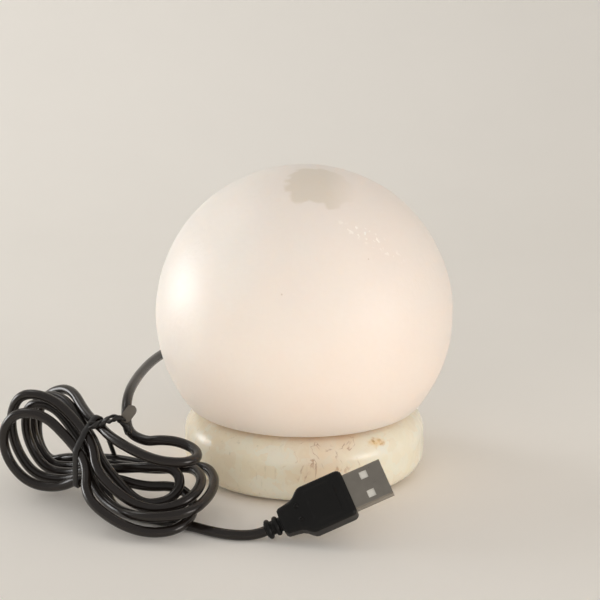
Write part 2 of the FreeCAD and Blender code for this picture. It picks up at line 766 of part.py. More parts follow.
def rounded_rectangle(along, width, thickness, corner):
    """A rectangle with rounded corners square to the plug's axis."""
    y = width / 2
    z = thickness / 2
    slant = corner * (1 - math.sqrt(0.5))
    edges = []
    quarters = ((1, 1), (-1, 1), (-1, -1), (1, -1))
    for number, (sy, sz) in enumerate(quarters):
        on_side = Vector(along, sy * y, sz * (z - corner))
        on_middle = Vector(along, sy * (y - slant), sz * (z - slant))
        on_face = Vector(along, sy * (y - corner), sz * z)
        ends = (on_side, on_face) if number % 2 == 0 else (on_face, on_side)
        if edges:
            edges.append(Part.LineSegment(edges[-1].Vertexes[-1].Point, ends[0]).toShape())
        edges.append(arc_through(ends[0], on_middle, ends[1]))
    edges.append(Part.LineSegment(edges[-1].Vertexes[-1].Point, edges[0].Vertexes[0].Point).toShape())
    return Part.Wire(edges)


neck_at = size("boot_length")
grip_at = neck_at + size("taper_length")
nose_at = grip_at + size("grip_length")
front_at = nose_at + size("nose_length")
shell_at = front_at - size("shell_root")
tip_at = front_at + size("shell_reach")


def shell_block(inset, first, last):
    """A block with the outline of the metal shell, made smaller all round by the inset."""
    width = size("shell_width") - 2 * inset
    thickness = size("shell_thickness") - 2 * inset
    corner = size("shell_corner") - inset
    face = Part.Face(rounded_rectangle(first, width, thickness, corner))
    return face.extrude(Vector(last - first, 0, 0))


def axis_cylinder(radius, first, last):
    return Part.makeCylinder(radius, last - first, Vector(first, 0, 0), Vector(1, 0, 0))


# Moulded grip and boot in one piece: lofted sections, then the ribs of the boot.
corner = size("grip_corner")
sections = (
    (neck_at, size("neck_width"), size("neck_thickness")),
    (grip_at, size("grip_width"), size("grip_thickness")),
    (nose_at, size("grip_width"), size("grip_thickness")),
    (front_at, size("grip_width") - 2 * size("nose_inset"),
     size("grip_thickness") - 2 * size("nose_inset")),
)
grip = Part.makeLoft([rounded_rectangle(s, w, t, corner) for s, w, t in sections], True, True)
grip = grip.fuse(axis_cylinder(size("boot_radius"), 0, neck_at + 1))
rib_at = neck_at - size("boot_rib_pitch")
while rib_at > 0:
    grip = grip.fuse(axis_cylinder(size("boot_rib_radius"), rib_at, rib_at + size("boot_rib_width")))
    rib_at = rib_at - size("boot_rib_pitch")
grip = grip.cut(shell_block(0, shell_at, tip_at)).removeSplitter()

plug_body = doc.addObject("Part::Feature", "plug_body")
plug_body.Label = "plug_body"
plug_body.Shape = grip.Solids[0]
plug_body.Placement = PLUG_PLACE

# Metal shell with two windows in each wide face.
wall = size("shell_wall")
shell = shell_block(0, shell_at, tip_at).cut(shell_block(wall, shell_at, tip_at))
window = size("window_side")
for side in (-1, 1):
    place = Vector(tip_at - size("window_from_tip") - window / 2,
                   side * size("window_spread") / 2 - window / 2, -size("shell_thickness") / 2 - 1)
    shell = shell.cut(Part.makeBox(window, window, size("shell_thickness") + 2, place))
plug_shell = doc.addObject("Part::Feature", "plug_shell")
plug_shell.Label = "plug_shell"
plug_shell.Shape = shell.Solids[0]
plug_shell.Placement = PLUG_PLACE

# Tongue against the upper wide face, four contacts on its other side.
tongue_top = size("shell_thickness") / 2 - wall - size("tongue_gap")
tongue_low = tongue_top - size("tongue_thickness")
tongue_tip = tip_at - size("tongue_set_back")
tongue = Part.makeBox(tongue_tip - shell_at, size("tongue_width"), size("tongue_thickness"),
                      Vector(shell_at, -size("tongue_width") / 2, tongue_low))
plug_tongue = doc.addObject("Part::Feature", "plug_tongue")
plug_tongue.Label = "plug_tongue"
plug_tongue.Shape = tongue
plug_tongue.Placement = PLUG_PLACE

strips = []
for number in range(4):
    middle = (number - 1.5) * size("contact_pitch")
    place = Vector(tongue_tip - 1.2 - size("contact_length"), middle - size("contact_width") / 2,
                   tongue_low - size("contact_thickness"))
    strips.append(Part.makeBox(size("contact_length"), size("contact_width"),
                               size("contact_thickness"), place))
plug_contacts = doc.addObject("Part::Feature", "plug_contacts")
plug_contacts.Label = "plug_contacts"
plug_contacts.Shape = Part.makeCompound(strips)
plug_contacts.Placement = PLUG_PLACE

doc.recompute()

NODES = (
    "salt_ball", "stone_base", "felt_pad", "bottom_cover", "cover_screws", "led_holder", "led_board",
    "led_chips", "board_resistors", "board_screws", "diffuser_dome", "cord_grommet", "cord_inner",
    "strain_tie", "wire_positive", "wire_negative", "cord_lead", "cord_hank", "cord_tail",
    "twist_tie", "plug_body", "plug_shell", "plug_tongue", "plug_contacts",
)

for item in doc.Objects:
    if "Invalid" in item.State or "Error" in item.State:
        raise RuntimeError("%s did not compute" % item.Label)

os.makedirs("parts", exist_ok=True)
for node in NODES:
    item = doc.getObjectsByLabel(node)[0]
    shape = item.Shape
    if shape.isNull() or not shape.isValid():
        raise RuntimeError("%s has no valid shape" % node)
    box = shape.optimalBoundingBox()
    print("%-16s solids %d volume %9.1f x %.1f %.1f y %.1f %.1f z %.2f %.2f"
          % (node, len(shape.Solids), shape.Volume, box.XMin, box.XMax, box.YMin, box.YMax,
             box.ZMin, box.ZMax))
    shape.exportStep("parts/%s.step" % node)
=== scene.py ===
import math
from functools import partial

import bmesh
import bpy
from mathutils import Matrix, Vector


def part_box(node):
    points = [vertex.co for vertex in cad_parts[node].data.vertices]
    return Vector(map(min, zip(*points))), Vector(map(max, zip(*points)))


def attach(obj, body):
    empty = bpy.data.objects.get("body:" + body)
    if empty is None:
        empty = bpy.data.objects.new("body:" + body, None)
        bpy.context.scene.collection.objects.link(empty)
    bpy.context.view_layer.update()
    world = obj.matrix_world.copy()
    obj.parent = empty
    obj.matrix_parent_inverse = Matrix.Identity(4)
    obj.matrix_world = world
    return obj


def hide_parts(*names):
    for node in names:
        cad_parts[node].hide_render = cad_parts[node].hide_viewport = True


bl_info = {
    "name": "Salt Lamp",
    "version": (1, 0, 0),
    "blender": (4, 5, 0),
    "location": "View3D > Sidebar > Salt Lamp",
    "description": "Finished surfaces for a salt ball lamp with its cord and plug",
    "category": "Object",
}

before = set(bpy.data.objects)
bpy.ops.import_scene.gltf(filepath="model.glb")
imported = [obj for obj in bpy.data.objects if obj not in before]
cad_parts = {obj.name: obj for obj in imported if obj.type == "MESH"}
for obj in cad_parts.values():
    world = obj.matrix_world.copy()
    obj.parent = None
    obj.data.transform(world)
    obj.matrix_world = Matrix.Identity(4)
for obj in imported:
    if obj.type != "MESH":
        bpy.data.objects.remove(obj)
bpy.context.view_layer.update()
MM = 0.001


def linear(code):
    """A colour from its sRGB hex value, as linear red, green, blue and alpha."""
    parts = [int(code[i:i + 2], 16) / 255 for i in (1, 3, 5)]
    return tuple(c / 12.92 if c <= 0.04045 else ((c + 0.055) / 1.055) ** 2.4 for c in parts) + (1.0,)


def length(name, description, default):
    """A property that holds a size in metres."""
    return bpy.props.FloatProperty(name=name, description=description, default=default, unit="LENGTH",
                                   precision=5)


def colour(name, description, code):
    """A property that holds a colour, given as its sRGB hex value."""
    return bpy.props.FloatVectorProperty(name=name, description=description, default=linear(code),
                                         size=4, subtype="COLOR", min=0, max=1)


BALL_LOW, BALL_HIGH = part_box("salt_ball")
BASE_LOW, BASE_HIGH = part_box("stone_base")
PAD_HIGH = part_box("felt_pad")[1]
BALL_RADIUS = (BALL_HIGH[0] - BALL_LOW[0]) / 2
BALL_CENTRE = Vector((0, 0, BALL_HIGH[2] - BALL_RADIUS))


class SaltLampSizes(bpy.types.PropertyGroup):
    """Sizes that a user would change."""
    ball_swell: length("Ball unevenness", "Height of the slow waves left by hand carving", 0.7 * MM)
    ball_pit: length("Ball pit depth", "Depth of the shallow dints in the salt", 0.12 * MM)
    base_swell: length("Base unevenness", "Height of the slow waves in the stone", 0.5 * MM)
    base_pit: length("Base pit depth", "Depth of the dints in the stone", 0.16 * MM)
    cord_diameter: length("Cord diameter", "Thickness of the cord", 3.3 * MM)
    tie_width: length("Tie width", "Width of the twist tie's flat band", 2.0 * MM)


class SaltLampColours(bpy.types.PropertyGroup):
    """Colours that a user would change."""
    salt: colour("Salt", "Milky white of the salt", "#EFEBE6")
    # salt_warm is also the colour of the painted warm glow towards the right and the foot
    salt_warm: colour("Warm salt", "Peach tint of the salt", "#EDE3DB")
    crystal: colour("Clear salt", "Greyer patch of clear crystal", "#E0D8CB")
    onyx: colour("Onyx", "Cream of the stone", "#FFF0DA")
    # onyx_cloud_and_shade is also the colour of the painted shade on the left of the base
    onyx_cloud_and_shade: colour("Clouded onyx", "Deeper cream of the clouds in the stone", "#F8E5C9")
    vein: colour("Vein", "Brown of the veins", "#A9764F")
    cord: colour("Cord", "Black of the cord", "#17110D")
    grip: colour("Plug grip", "Black of the plug's grip", "#0D0C0B")
    steel: colour("Plug shell", "Grey of the plated steel", "#A39C92")
    floor: colour("Floor", "Pale floor and backdrop", "#FBF7F0")


class SaltLampSettings(bpy.types.PropertyGroup):
    """All settings of the lamp."""
    sizes: bpy.props.PointerProperty(type=SaltLampSizes, name="Sizes", description="Sizes of the lamp")
    colours: bpy.props.PointerProperty(type=SaltLampColours, name="Colours",
                                       description="Colours of the lamp")


def sizes():
    return bpy.context.scene.salt_lamp.sizes


def colours():
    return bpy.context.scene.salt_lamp.colours


# Kinds of node that are used often.
MATH = "ShaderNodeMath"
VECTOR = "ShaderNodeVectorMath"
AXES = "ShaderNodeSeparateXYZ"
NOISE = "ShaderNodeTexNoise"
CELLS = "ShaderNodeTexVoronoi"
RANGE = "ShaderNodeMapRange"
MIX = "ShaderNodeMix"
BUMP = "ShaderNodeBump"

# Inputs of a colour mix: the share of the upper colour, the lower colour and the upper colour.
SHARE, UNDER, OVER = 0, 6, 7


def add_node(tree, kind, inputs=(), **settings):
    """Adds a node with its settings, sets or links its inputs and returns its first live output.

    The inputs are a list in their order, or a dictionary by name or place.
    """
    item = tree.nodes.new(kind)
    for name, value in settings.items():
        setattr(item, name, value)
    for socket, value in inputs.items() if isinstance(inputs, dict) else enumerate(inputs):
        if isinstance(value, bpy.types.NodeSocket):
            tree.links.new(value, item.inputs[socket])
        else:
            item.inputs[socket].default_value = value
    live = [output for output in item.outputs if output.enabled]
    return live[0] if live else None


def new_material(name):
    """A material with an empty tree: returns it, what adds its nodes and the piece's coordinates."""
    material = bpy.data.materials.new(name)
    material.use_nodes = True
    material.node_tree.nodes.clear()
    node = partial(add_node, material.node_tree)
    return material, node, node("ShaderNodeTexCoord").node.outputs["Object"]


def finish_material(material, surface):
    """Ends a material with its shader, whose inputs are set or linked."""
    node = partial(add_node, material.node_tree)
    shader = node("ShaderNodeBsdfPrincipled", surface)
    node("ShaderNodeOutputMaterial", {"Surface": shader})
    return material


# Middle of the clear patch on the ball's crown, and of the scraped place on its right shoulder.
PATCH_POINT = BALL_CENTRE + Vector((0.118, -0.285, 0.951)) * BALL_RADIUS
SCRAPE_POINT = BALL_CENTRE + Vector((0.400, -0.612, 0.683)) * BALL_RADIUS
SCRAPE_WAY = Vector((0.82, 0.06, -0.57))


def salt_material():
    """Rock salt, turned and rubbed with water: milky, a little translucent and satin.

    Light enters it, so it scatters below the surface. Peach clouds lie in the milk, with a painted
    warm glow added towards the right and the foot. A patch on the crown is clear crystal and looks
    greyer, small specks are dark, and a scraped place has raised flakes with a painted highlight.
    """
    material, node, point = new_material("Rubbed rock salt")
    shade = colours()
    axes = node(AXES, [point]).node.outputs
    clouds, ragged, flakes, rub, grain = (
        node(NOISE, {"Vector": point, "Scale": 1 / (size * MM), "Detail": detail})
        for size, detail in ((24, 3.0), (9, 2.0), (1.7, 1.0), (9, 3.0), (2.2, 2.5)))

    # peach clouds at random, and a painted warm glow that grows to the right and towards the foot
    painted_glow_rightward = node(RANGE, {"Value": axes["X"], "From Min": -45 * MM, "From Max": 25 * MM, "To Max": 0.6})
    painted_glow_footward = node(RANGE, {"Value": axes["Z"], "From Min": 80 * MM, "From Max": 30 * MM, "To Max": 0.35})
    painted_glow = node(MATH, [painted_glow_rightward, painted_glow_footward], operation="ADD")
    drift = node(MATH, [clouds, 0.7, -0.35], operation="MULTIPLY_ADD")
    peach_and_painted_glow = node(MATH, [painted_glow, drift], operation="ADD", use_clamp=True)

    # clear patch with a ragged edge, which fades to the right
    reach = Vector((14 * MM,) * 3)
    shifted = node(VECTOR, [ragged.node.outputs["Color"], reach, point], operation="MULTIPLY_ADD")
    away = node(VECTOR, [shifted, PATCH_POINT + reach / 2], operation="DISTANCE")
    inside = node(RANGE, {"Value": away, "From Min": 13.3 * MM, "From Max": 12.0 * MM, "To Max": 0.8})
    fade = node(RANGE, {
        "Value": axes["X"], "From Min": PATCH_POINT.x + 11 * MM, "From Max": PATCH_POINT.x + 1 * MM})
    patch = node(MATH, [inside, fade], operation="MULTIPLY")

    # specks of several sizes, in half of the cells
    cells = node(CELLS, {"Vector": point, "Scale": 1 / (7 * MM)}).node.outputs
    rarity = node(AXES, [cells["Color"]])
    dot = node(RANGE, {"Value": rarity, "From Min": 0.5, "From Max": 1.0, "To Max": 0.045})
    speck = node(MATH, [cells["Distance"], dot], operation="LESS_THAN")
    tint = node(MATH, [speck, 0.3], operation="MULTIPLY")

    # scraped place, longer along its way than across it: its flakes are raised, and their near-white colour
    # is a painted highlight
    from_scrape = node(VECTOR, [point, SCRAPE_POINT], operation="SUBTRACT")
    along = node(VECTOR, [from_scrape, SCRAPE_WAY], operation="DOT_PRODUCT")
    shrunk = node(VECTOR, {0: SCRAPE_WAY, "Scale": along}, operation="SCALE")
    narrow = node(VECTOR, [shrunk, (-0.8, -0.8, -0.8), from_scrape], operation="MULTIPLY_ADD")
    away = node(VECTOR, [narrow], operation="LENGTH")
    scraped = node(RANGE, {"Value": away, "From Min": 3.6 * MM, "From Max": 0.8 * MM})
    chosen = node(RANGE, {"Value": flakes, "From Min": 0.58, "From Max": 0.66})
    flakes_and_painted_glint = node(MATH, [chosen, scraped], operation="MULTIPLY")

    # layers over the milk: peach clouds with the painted warm glow, the clear patch, the specks and the
    # painted highlight on the flakes
    body = shade.salt
    for share, over in ((peach_and_painted_glow, shade.salt_warm), (patch, shade.crystal), (tint, linear("#A38D75")),
                        (flakes_and_painted_glint, linear("#FFFBF5"))):
        body = node(MIX, {SHARE: share, UNDER: body, OVER: over}, data_type="RGBA")
    gloss = node(RANGE, {"Value": rub, "To Min": 0.32, "To Max": 0.48})
    rise = node(MATH, [flakes_and_painted_glint, 0.8, grain], operation="MULTIPLY_ADD")
    relief = node(MATH, [rise, speck], operation="SUBTRACT")
    normal = node(BUMP, {"Height": relief, "Distance": 0.16 * MM})
    return finish_material(material, {
        "Base Color": body, "Roughness": gloss, "Normal": normal, "IOR": 1.54, "Subsurface Weight": 1.0,
        "Subsurface Radius": (1.0, 0.94, 0.88), "Subsurface Scale": 40 * MM})


# Places on the base's front: the cluster of veins below the ball, its run down the side, the stain.
VEIN_POINT = Vector((10.5, -37.0, 21.0)) * MM
VEIN_FOOT = Vector((2.0, -40.5, 15.0)) * MM
STAIN_POINT = Vector((24.8, -32.0, 19.7)) * MM


def onyx_material():
    """Cream onyx, turned and polished: glossy and clouded, with crystal grain, fine brown veins and painted
    shade.
    """
    material, node, point = new_material("Polished cream onyx")
    shade = colours()
    axes = node(AXES, [point]).node.outputs
    clouds, swirl, broken, wear, ripple = (
        node(NOISE, {"Vector": point, "Scale": 1 / (size * MM), "Detail": detail})
        for size, detail in ((13, 4.0), (5, 3.0), (2.5, 2.0), (4, 3.0), (2.4, 2.0)))

    # clouds of a deeper cream at random, and painted shade that deepens the cream to the left
    painted_shade_leftward = node(RANGE, {"Value": axes["X"], "From Min": 12 * MM, "From Max": -26 * MM, "To Max": 0.8})
    drift = node(MATH, [clouds, 1.4, -0.7], operation="MULTIPLY_ADD")
    clouds_and_painted_shade = node(MATH, [painted_shade_leftward, drift], operation="ADD", use_clamp=True)
    layers = [(clouds_and_painted_shade, shade.onyx_cloud_and_shade)]

    # crystal grain: cells bent by a swirl, some of them paler and some rosy, and dark streaks that grow
    # with the clouds and the painted shade
    swirled = swirl.node.outputs["Color"]
    bent = node(VECTOR, [swirled, (9 * MM,) * 3, point], operation="MULTIPLY_ADD")
    cells = node(CELLS, {"Vector": bent, "Scale": 1 / (4.2 * MM)}).node.outputs["Color"]
    crystal = node(AXES, [cells])
    for none, full, most, code in ((0.55, 1.0, 0.5, "#F6F0E0"), (0.45, 0.0, 0.3, "#F0DABD")):
        share = node(RANGE, {"Value": crystal, "From Min": none, "From Max": full, "To Max": most})
        layers.append((share, linear(code)))
    streaks = node("ShaderNodeMapping", {"Vector": point, "Scale": (1.0, 1.0, 0.35)})
    specks = node(NOISE, {"Vector": streaks, "Scale": 1 / (1.5 * MM), "Detail": 2.0})
    dark = node(RANGE, {"Value": specks, "From Min": 0.62, "From Max": 0.8, "To Max": 0.45})
    dark = node(MATH, [dark, clouds_and_painted_shade], operation="MULTIPLY")
    layers.append((dark, linear("#97896D")))

    # veins: broken lines where a noise crosses its middle, near two places, each with a blush
    upright = node("ShaderNodeMapping", {"Vector": point, "Scale": (1.0, 1.0, 0.5)})
    wander = node(NOISE, {"Vector": upright, "Scale": 1 / (6 * MM), "Detail": 4.0, "Distortion": 0.5})
    middle = node(MATH, [wander, 0.5], operation="SUBTRACT")
    ridge = node(MATH, [middle], operation="ABSOLUTE")
    line = node(RANGE, {
        "Value": ridge, "From Min": 0.022, "From Max": 0.003}, interpolation_type="SMOOTHSTEP")
    kept = node(RANGE, {"Value": broken, "From Min": 0.42, "From Max": 0.62})
    line = node(MATH, [line, kept], operation="MULTIPLY")
    for spot, near, far, strength in ((VEIN_POINT, 4, 15, 0.55), (VEIN_FOOT, 3, 11, 0.45)):
        away = node(VECTOR, [point, spot], operation="DISTANCE")
        here = node(RANGE, {"Value": away, "From Min": far * MM, "From Max": near * MM, "To Max": strength})
        for pattern, over in ((clouds, linear("#E9C8A9")), (line, shade.vein)):
            share = node(MATH, [here, pattern], operation="MULTIPLY")
            layers.append((share, over))

    # flat stain with a browner core
    from_stain = node(VECTOR, [point, STAIN_POINT], operation="SUBTRACT")
    flat = node(VECTOR, [from_stain, (0.6, 0.6, 1.6)], operation="MULTIPLY")
    away = node(VECTOR, [flat], operation="LENGTH")
    uneven = node(MATH, [broken, -4 * MM, away], operation="MULTIPLY_ADD")
    stain = node(RANGE, {"Value": uneven, "From Min": 0.9 * MM, "From Max": -1.0 * MM, "To Max": 0.7})
    core = node(RANGE, {"Value": broken, "From Min": 0.54, "From Max": 0.62, "To Max": 0.7})
    core = node(MATH, [core, stain], operation="MULTIPLY")
    layers += [(stain, linear("#EBC280")), (core, linear("#A8763C"))]

    # painted shade: a browner ring round the top, just below the ball's edge
    top = BASE_HIGH[2]
    rim = node(RANGE, {
        "Value": axes["Z"], "From Min": top - 2.2 * MM, "From Max": top - 1.2 * MM, "To Max": 0.6})
    painted_seam_shade = node(MATH, [rim, clouds], operation="MULTIPLY")
    layers.append((painted_seam_shade, linear("#B58A62")))

    stone = shade.onyx
    for share, over in layers:
        stone = node(MIX, {SHARE: share, UNDER: stone, OVER: over}, data_type="RGBA")
    gloss = node(RANGE, {"Value": wear, "To Min": 0.12, "To Max": 0.32})
    normal = node(BUMP, {"Height": ripple, "Distance": 0.1 * MM})
    return finish_material(material, {
        "Base Color": stone, "Roughness": gloss, "Normal": normal, "IOR": 1.5, "Subsurface Weight": 0.7,
        "Subsurface Radius": (1.0, 0.85, 0.65), "Subsurface Scale": 16 * MM})


def plastic_material(name, base, roughness, grain_size, grain_depth, change=0.25, shine=0.5):
    """Moulded or extruded plastic: one colour, faintly clouded, with the fine grain of its mould.

    The grain is drawn as coarse as it needs to show.
    """
    material, node, point = new_material(name)
    clouds = node(NOISE, {"Vector": point, "Scale": 1 / (8 * MM), "Detail": 2.0})
    lighter = tuple(min(1.0, c * (1 + change) + 0.002) for c in base[:3]) + (1.0,)
    body = node(MIX, {SHARE: clouds, UNDER: base, OVER: lighter}, data_type="RGBA")
    gloss = node(RANGE, {"Value": clouds, "To Min": roughness - 0.06, "To Max": roughness + 0.06})
    grain = node(NOISE, {"Vector": point, "Scale": 1 / grain_size, "Detail": 2.0})
    normal = node(BUMP, {"Height": grain, "Distance": grain_depth})
    return finish_material(material, {
        "Base Color": body, "Roughness": gloss, "Normal": normal, "Specular IOR Level": shine})


def metal_material(name, base, roughness, grain_size):
    """Plated metal: rolled sheet or turned wire with a faint grain that blurs its reflections."""
    material, node, point = new_material(name)
    clouds = node(NOISE, {"Vector": point, "Scale": 1 / grain_size, "Detail": 3.0})
    darker = tuple(c * 0.78 for c in base[:3]) + (1.0,)
    body = node(MIX, {SHARE: clouds, UNDER: darker, OVER: base}, data_type="RGBA")
    gloss = node(RANGE, {"Value": clouds, "To Min": roughness - 0.07, "To Max": roughness + 0.07})
    return finish_material(material, {"Base Color": body, "Roughness": gloss, "Metallic": 1.0})


def felt_material():
    """Black wool felt: matted fibres, so it is rough all over and has a soft fuzz."""
    material, node, point = new_material("Black felt")
    fibres = node(NOISE, {"Vector": point, "Scale": 1 / (0.7 * MM), "Detail": 4.0, "Roughness": 0.7})
    body = node(MIX, {SHARE: fibres, UNDER: linear("#141312"), OVER: linear("#34312E")}, data_type="RGBA")
    normal = node(BUMP, {"Height": fibres, "Distance": 0.3 * MM})
    return finish_material(material, {
        "Base Color": body, "Normal": normal, "Roughness": 0.95, "Sheen Weight": 0.4})


def frosted_material():
    """Frosted polycarbonate: white and translucent, with the matte skin of a sanded mould.

    The chips behind it are on, so it glows evenly and lights the salt from inside.
    """
    material, node, point = new_material("Frosted polycarbonate")
    clouds = node(NOISE, {"Vector": point, "Scale": 1 / (10 * MM), "Detail": 2.0})
    body = node(MIX, {SHARE: clouds, UNDER: linear("#F2F0EA"), OVER: linear("#E8E4DA")}, data_type="RGBA")
    matte = node(NOISE, {"Vector": point, "Scale": 1 / (0.6 * MM), "Detail": 2.0})
    normal = node(BUMP, {"Height": matte, "Distance": 0.03 * MM})
    return finish_material(material, {
        "Base Color": body, "Normal": normal, "Roughness": 0.6, "Subsurface Weight": 0.5,
        "Subsurface Radius": (1.0, 1.0, 1.0), "Subsurface Scale": 2 * MM,
        "Emission Color": linear("#F6F8FA"), "Emission Strength": 4.9})


def paper_material():
    """Pale photo paper: matte, one colour, with the faintest mottling, and clear from behind."""
    material, node, point = new_material("Pale paper sweep")
    base = tuple(colours().floor)
    darker = tuple(c * 0.97 for c in base[:3]) + (1.0,)
    mottle = node(NOISE, {"Vector": point, "Scale": 1 / (60 * MM), "Detail": 2.0})
    body = node(MIX, {SHARE: mottle, UNDER: darker, OVER: base}, data_type="RGBA")
    behind = node("ShaderNodeNewGeometry").node.outputs["Backfacing"]
    shown = node(MATH, [1.0, behind], operation="SUBTRACT")
    return finish_material(material, {"Base Color": body, "Roughness": 0.6, "Alpha": shown})


def arc(centre_r, centre_z, radius, first, last, count):
    """Points of an arc in a profile, angles in degrees from level."""
    points = []
    for k in range(count + 1):
        angle = math.radians(first + (last - first) * k / count)
        points.append((centre_r + radius * math.cos(angle), centre_z + radius * math.sin(angle)))
    return points


def run(corners, *counts):
    """Points of a line through corners, in so many steps from each to the next, without its last one."""
    points = []
    for one, two, count in zip(corners, corners[1:], counts):
        points += [(one[0] + (two[0] - one[0]) * k / count, one[1] + (two[1] - one[1]) * k / count)
                   for k in range(count)]
    return points


def eased(value, reach):
    """0 below 0, 1 above the reach and even steps between."""
    return min(1.0, max(0.0, value / reach))


def piece_from(form, name, sharp):
    """A smooth shaded piece from a finished form, with edges sharper than an angle kept."""
    bmesh.ops.recalc_face_normals(form, faces=form.faces)
    mesh = bpy.data.meshes.new(name)
    form.to_mesh(mesh)
    form.free()
    mesh.polygons.foreach_set("use_smooth", [True] * len(mesh.polygons))
    mesh.set_sharp_from_angle(angle=math.radians(sharp))
    piece = bpy.data.objects.new(name, mesh)
    bpy.context.scene.collection.objects.link(piece)
    return piece


def skin(form, rings, ends="open"):
    """Faces between rings of points, of which a pole is one point. Ends are open, joined or capped."""
    count = max(len(ring) for ring in rings)
    following = rings[1:] + rings[:1] if ends == "joined" else rings[1:]
    faces = []
    for one, two in zip(rings, following):
        for k in range(count):
            after = (k + 1) % count
            corners = (one[k % len(one)], one[after % len(one)], two[after % len(two)], two[k % len(two)])
            faces.append(form.faces.new(list(dict.fromkeys(corners))))
    if ends == "capped":
        faces += [form.faces.new(rings[0]), form.faces.new(rings[-1])]
    return faces


def turned(name, profile, segments, ends="open"):
    """A piece turned about the upright axis from a profile of radii and heights."""
    form = bmesh.new()
    rings = []
    for radius, height in profile:
        angles = [2 * math.pi * k / segments for k in range(segments if radius else 1)]
        rings.append([form.verts.new((radius * math.cos(angle), radius * math.sin(angle), height))
                      for angle in angles])
    skin(form, rings, ends)
    return piece_from(form, name, sharp=40)


def weigh_outside(piece, weight):
    """Stores on each point how much of the surface pattern it takes."""
    mesh = piece.data
    attribute = mesh.attributes.new("outside", "FLOAT", "POINT")
    attribute.data.foreach_set("value", [weight(vertex.co) for vertex in mesh.vertices])


def new_tree(name, inputs):
    """A tree that shapes a mesh: returns it, what adds its nodes and its inputs by name."""
    tree = bpy.data.node_groups.new(name, "GeometryNodeTree")
    tree.interface.new_socket("Geometry", in_out="OUTPUT", socket_type="NodeSocketGeometry")
    for label, kind in inputs.items():
        tree.interface.new_socket(label, in_out="INPUT", socket_type="NodeSocket" + kind)
    node = partial(add_node, tree)
    return tree, node, node("NodeGroupInput").node.outputs


def finish_tree(node, shape, material):
    """Ends a tree with a plain mesh in its material."""
    real = node("GeometryNodeRealizeInstances", {"Geometry": shape})
    coated = node("GeometryNodeSetMaterial", {"Geometry": real, "Material": material})
    node("NodeGroupOutput", {"Geometry": coated})


def surface_tree():
    """Node tree that gives turned stone its slow waves, fine grain and shallow dints."""
    numbers = ("Wave height", "Wave size", "Grain height", "Grain size", "Pit depth", "Pit size",
               "Pit share")
    tree, node, given = new_tree("Worked stone surface", {
        "Geometry": "Geometry", **dict.fromkeys(numbers, "Float"), "Material": "Material"})
    point = node("GeometryNodeInputPosition")
    rises = []
    for height, size in (("Wave height", "Wave size"), ("Grain height", "Grain size")):
        scale = node(MATH, [1.0, given[size]], operation="DIVIDE")
        lumps = node(NOISE, {"Vector": point, "Scale": scale, "Detail": 1.5})
        level = node(MATH, [lumps, 0.5], operation="SUBTRACT")
        rises.append(node(MATH, [level, given[height]], operation="MULTIPLY"))
    swell = node(MATH, rises, operation="ADD")
    scale = node(MATH, [1.0, given["Pit size"]], operation="DIVIDE")
    cells = node(CELLS, {"Vector": point, "Scale": scale}).node.outputs
    hollow = node(RANGE, {
        "Value": cells["Distance"], "From Min": 0.34, "From Max": 0.05}, interpolation_type="SMOOTHSTEP")
    chance = node(AXES, [cells["Color"]])
    chosen = node(MATH, [chance, given["Pit share"]], operation="LESS_THAN")
    depth = node(MATH, [chosen, given["Pit depth"]], operation="MULTIPLY")
    pit = node(MATH, [hollow, depth], operation="MULTIPLY")
    total = node(MATH, [swell, pit], operation="SUBTRACT")
    outside = node("GeometryNodeInputNamedAttribute", {"Name": "outside"}, data_type="FLOAT")
    total = node(MATH, [total, outside], operation="MULTIPLY")
    outward = node("GeometryNodeInputNormal")
    offset = node(VECTOR, {0: outward, "Scale": total}, operation="SCALE")
    moved = node("GeometryNodeSetPosition", {"Geometry": given["Geometry"], "Offset": offset})
    finish_tree(node, moved, given["Material"])
    return tree


def run_tree(piece, tree, inputs):
    """Runs a node tree on a piece and keeps the result as its plain mesh."""
    modifier = piece.modifiers.new("Shape", "NODES")
    modifier.node_group = tree
    for socket in tree.interface.items_tree:
        if socket.in_out == "INPUT" and socket.name in inputs:
            modifier[socket.identifier] = inputs[socket.name]
    graph = bpy.context.evaluated_depsgraph_get()
    mesh = bpy.data.meshes.new_from_object(piece.evaluated_get(graph))
    piece.modifiers.remove(modifier)
    mesh.name = piece.name
    piece.data = mesh


def place_piece(piece, slot, body, *nodes):
    """Says which body a piece moves with and which solids it stands for; its finish (slot) is not used."""
    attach(piece, body)
    if nodes:
        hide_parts(*nodes)


def dress(piece, material):
    """Adds a material to a piece."""
    piece.data.materials.append(material)


def dress_node(name, material):
    """Gives a solid that stays as it is its finished material."""
    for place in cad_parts[name].material_slots:
        place.link = "OBJECT"
        place.material = material


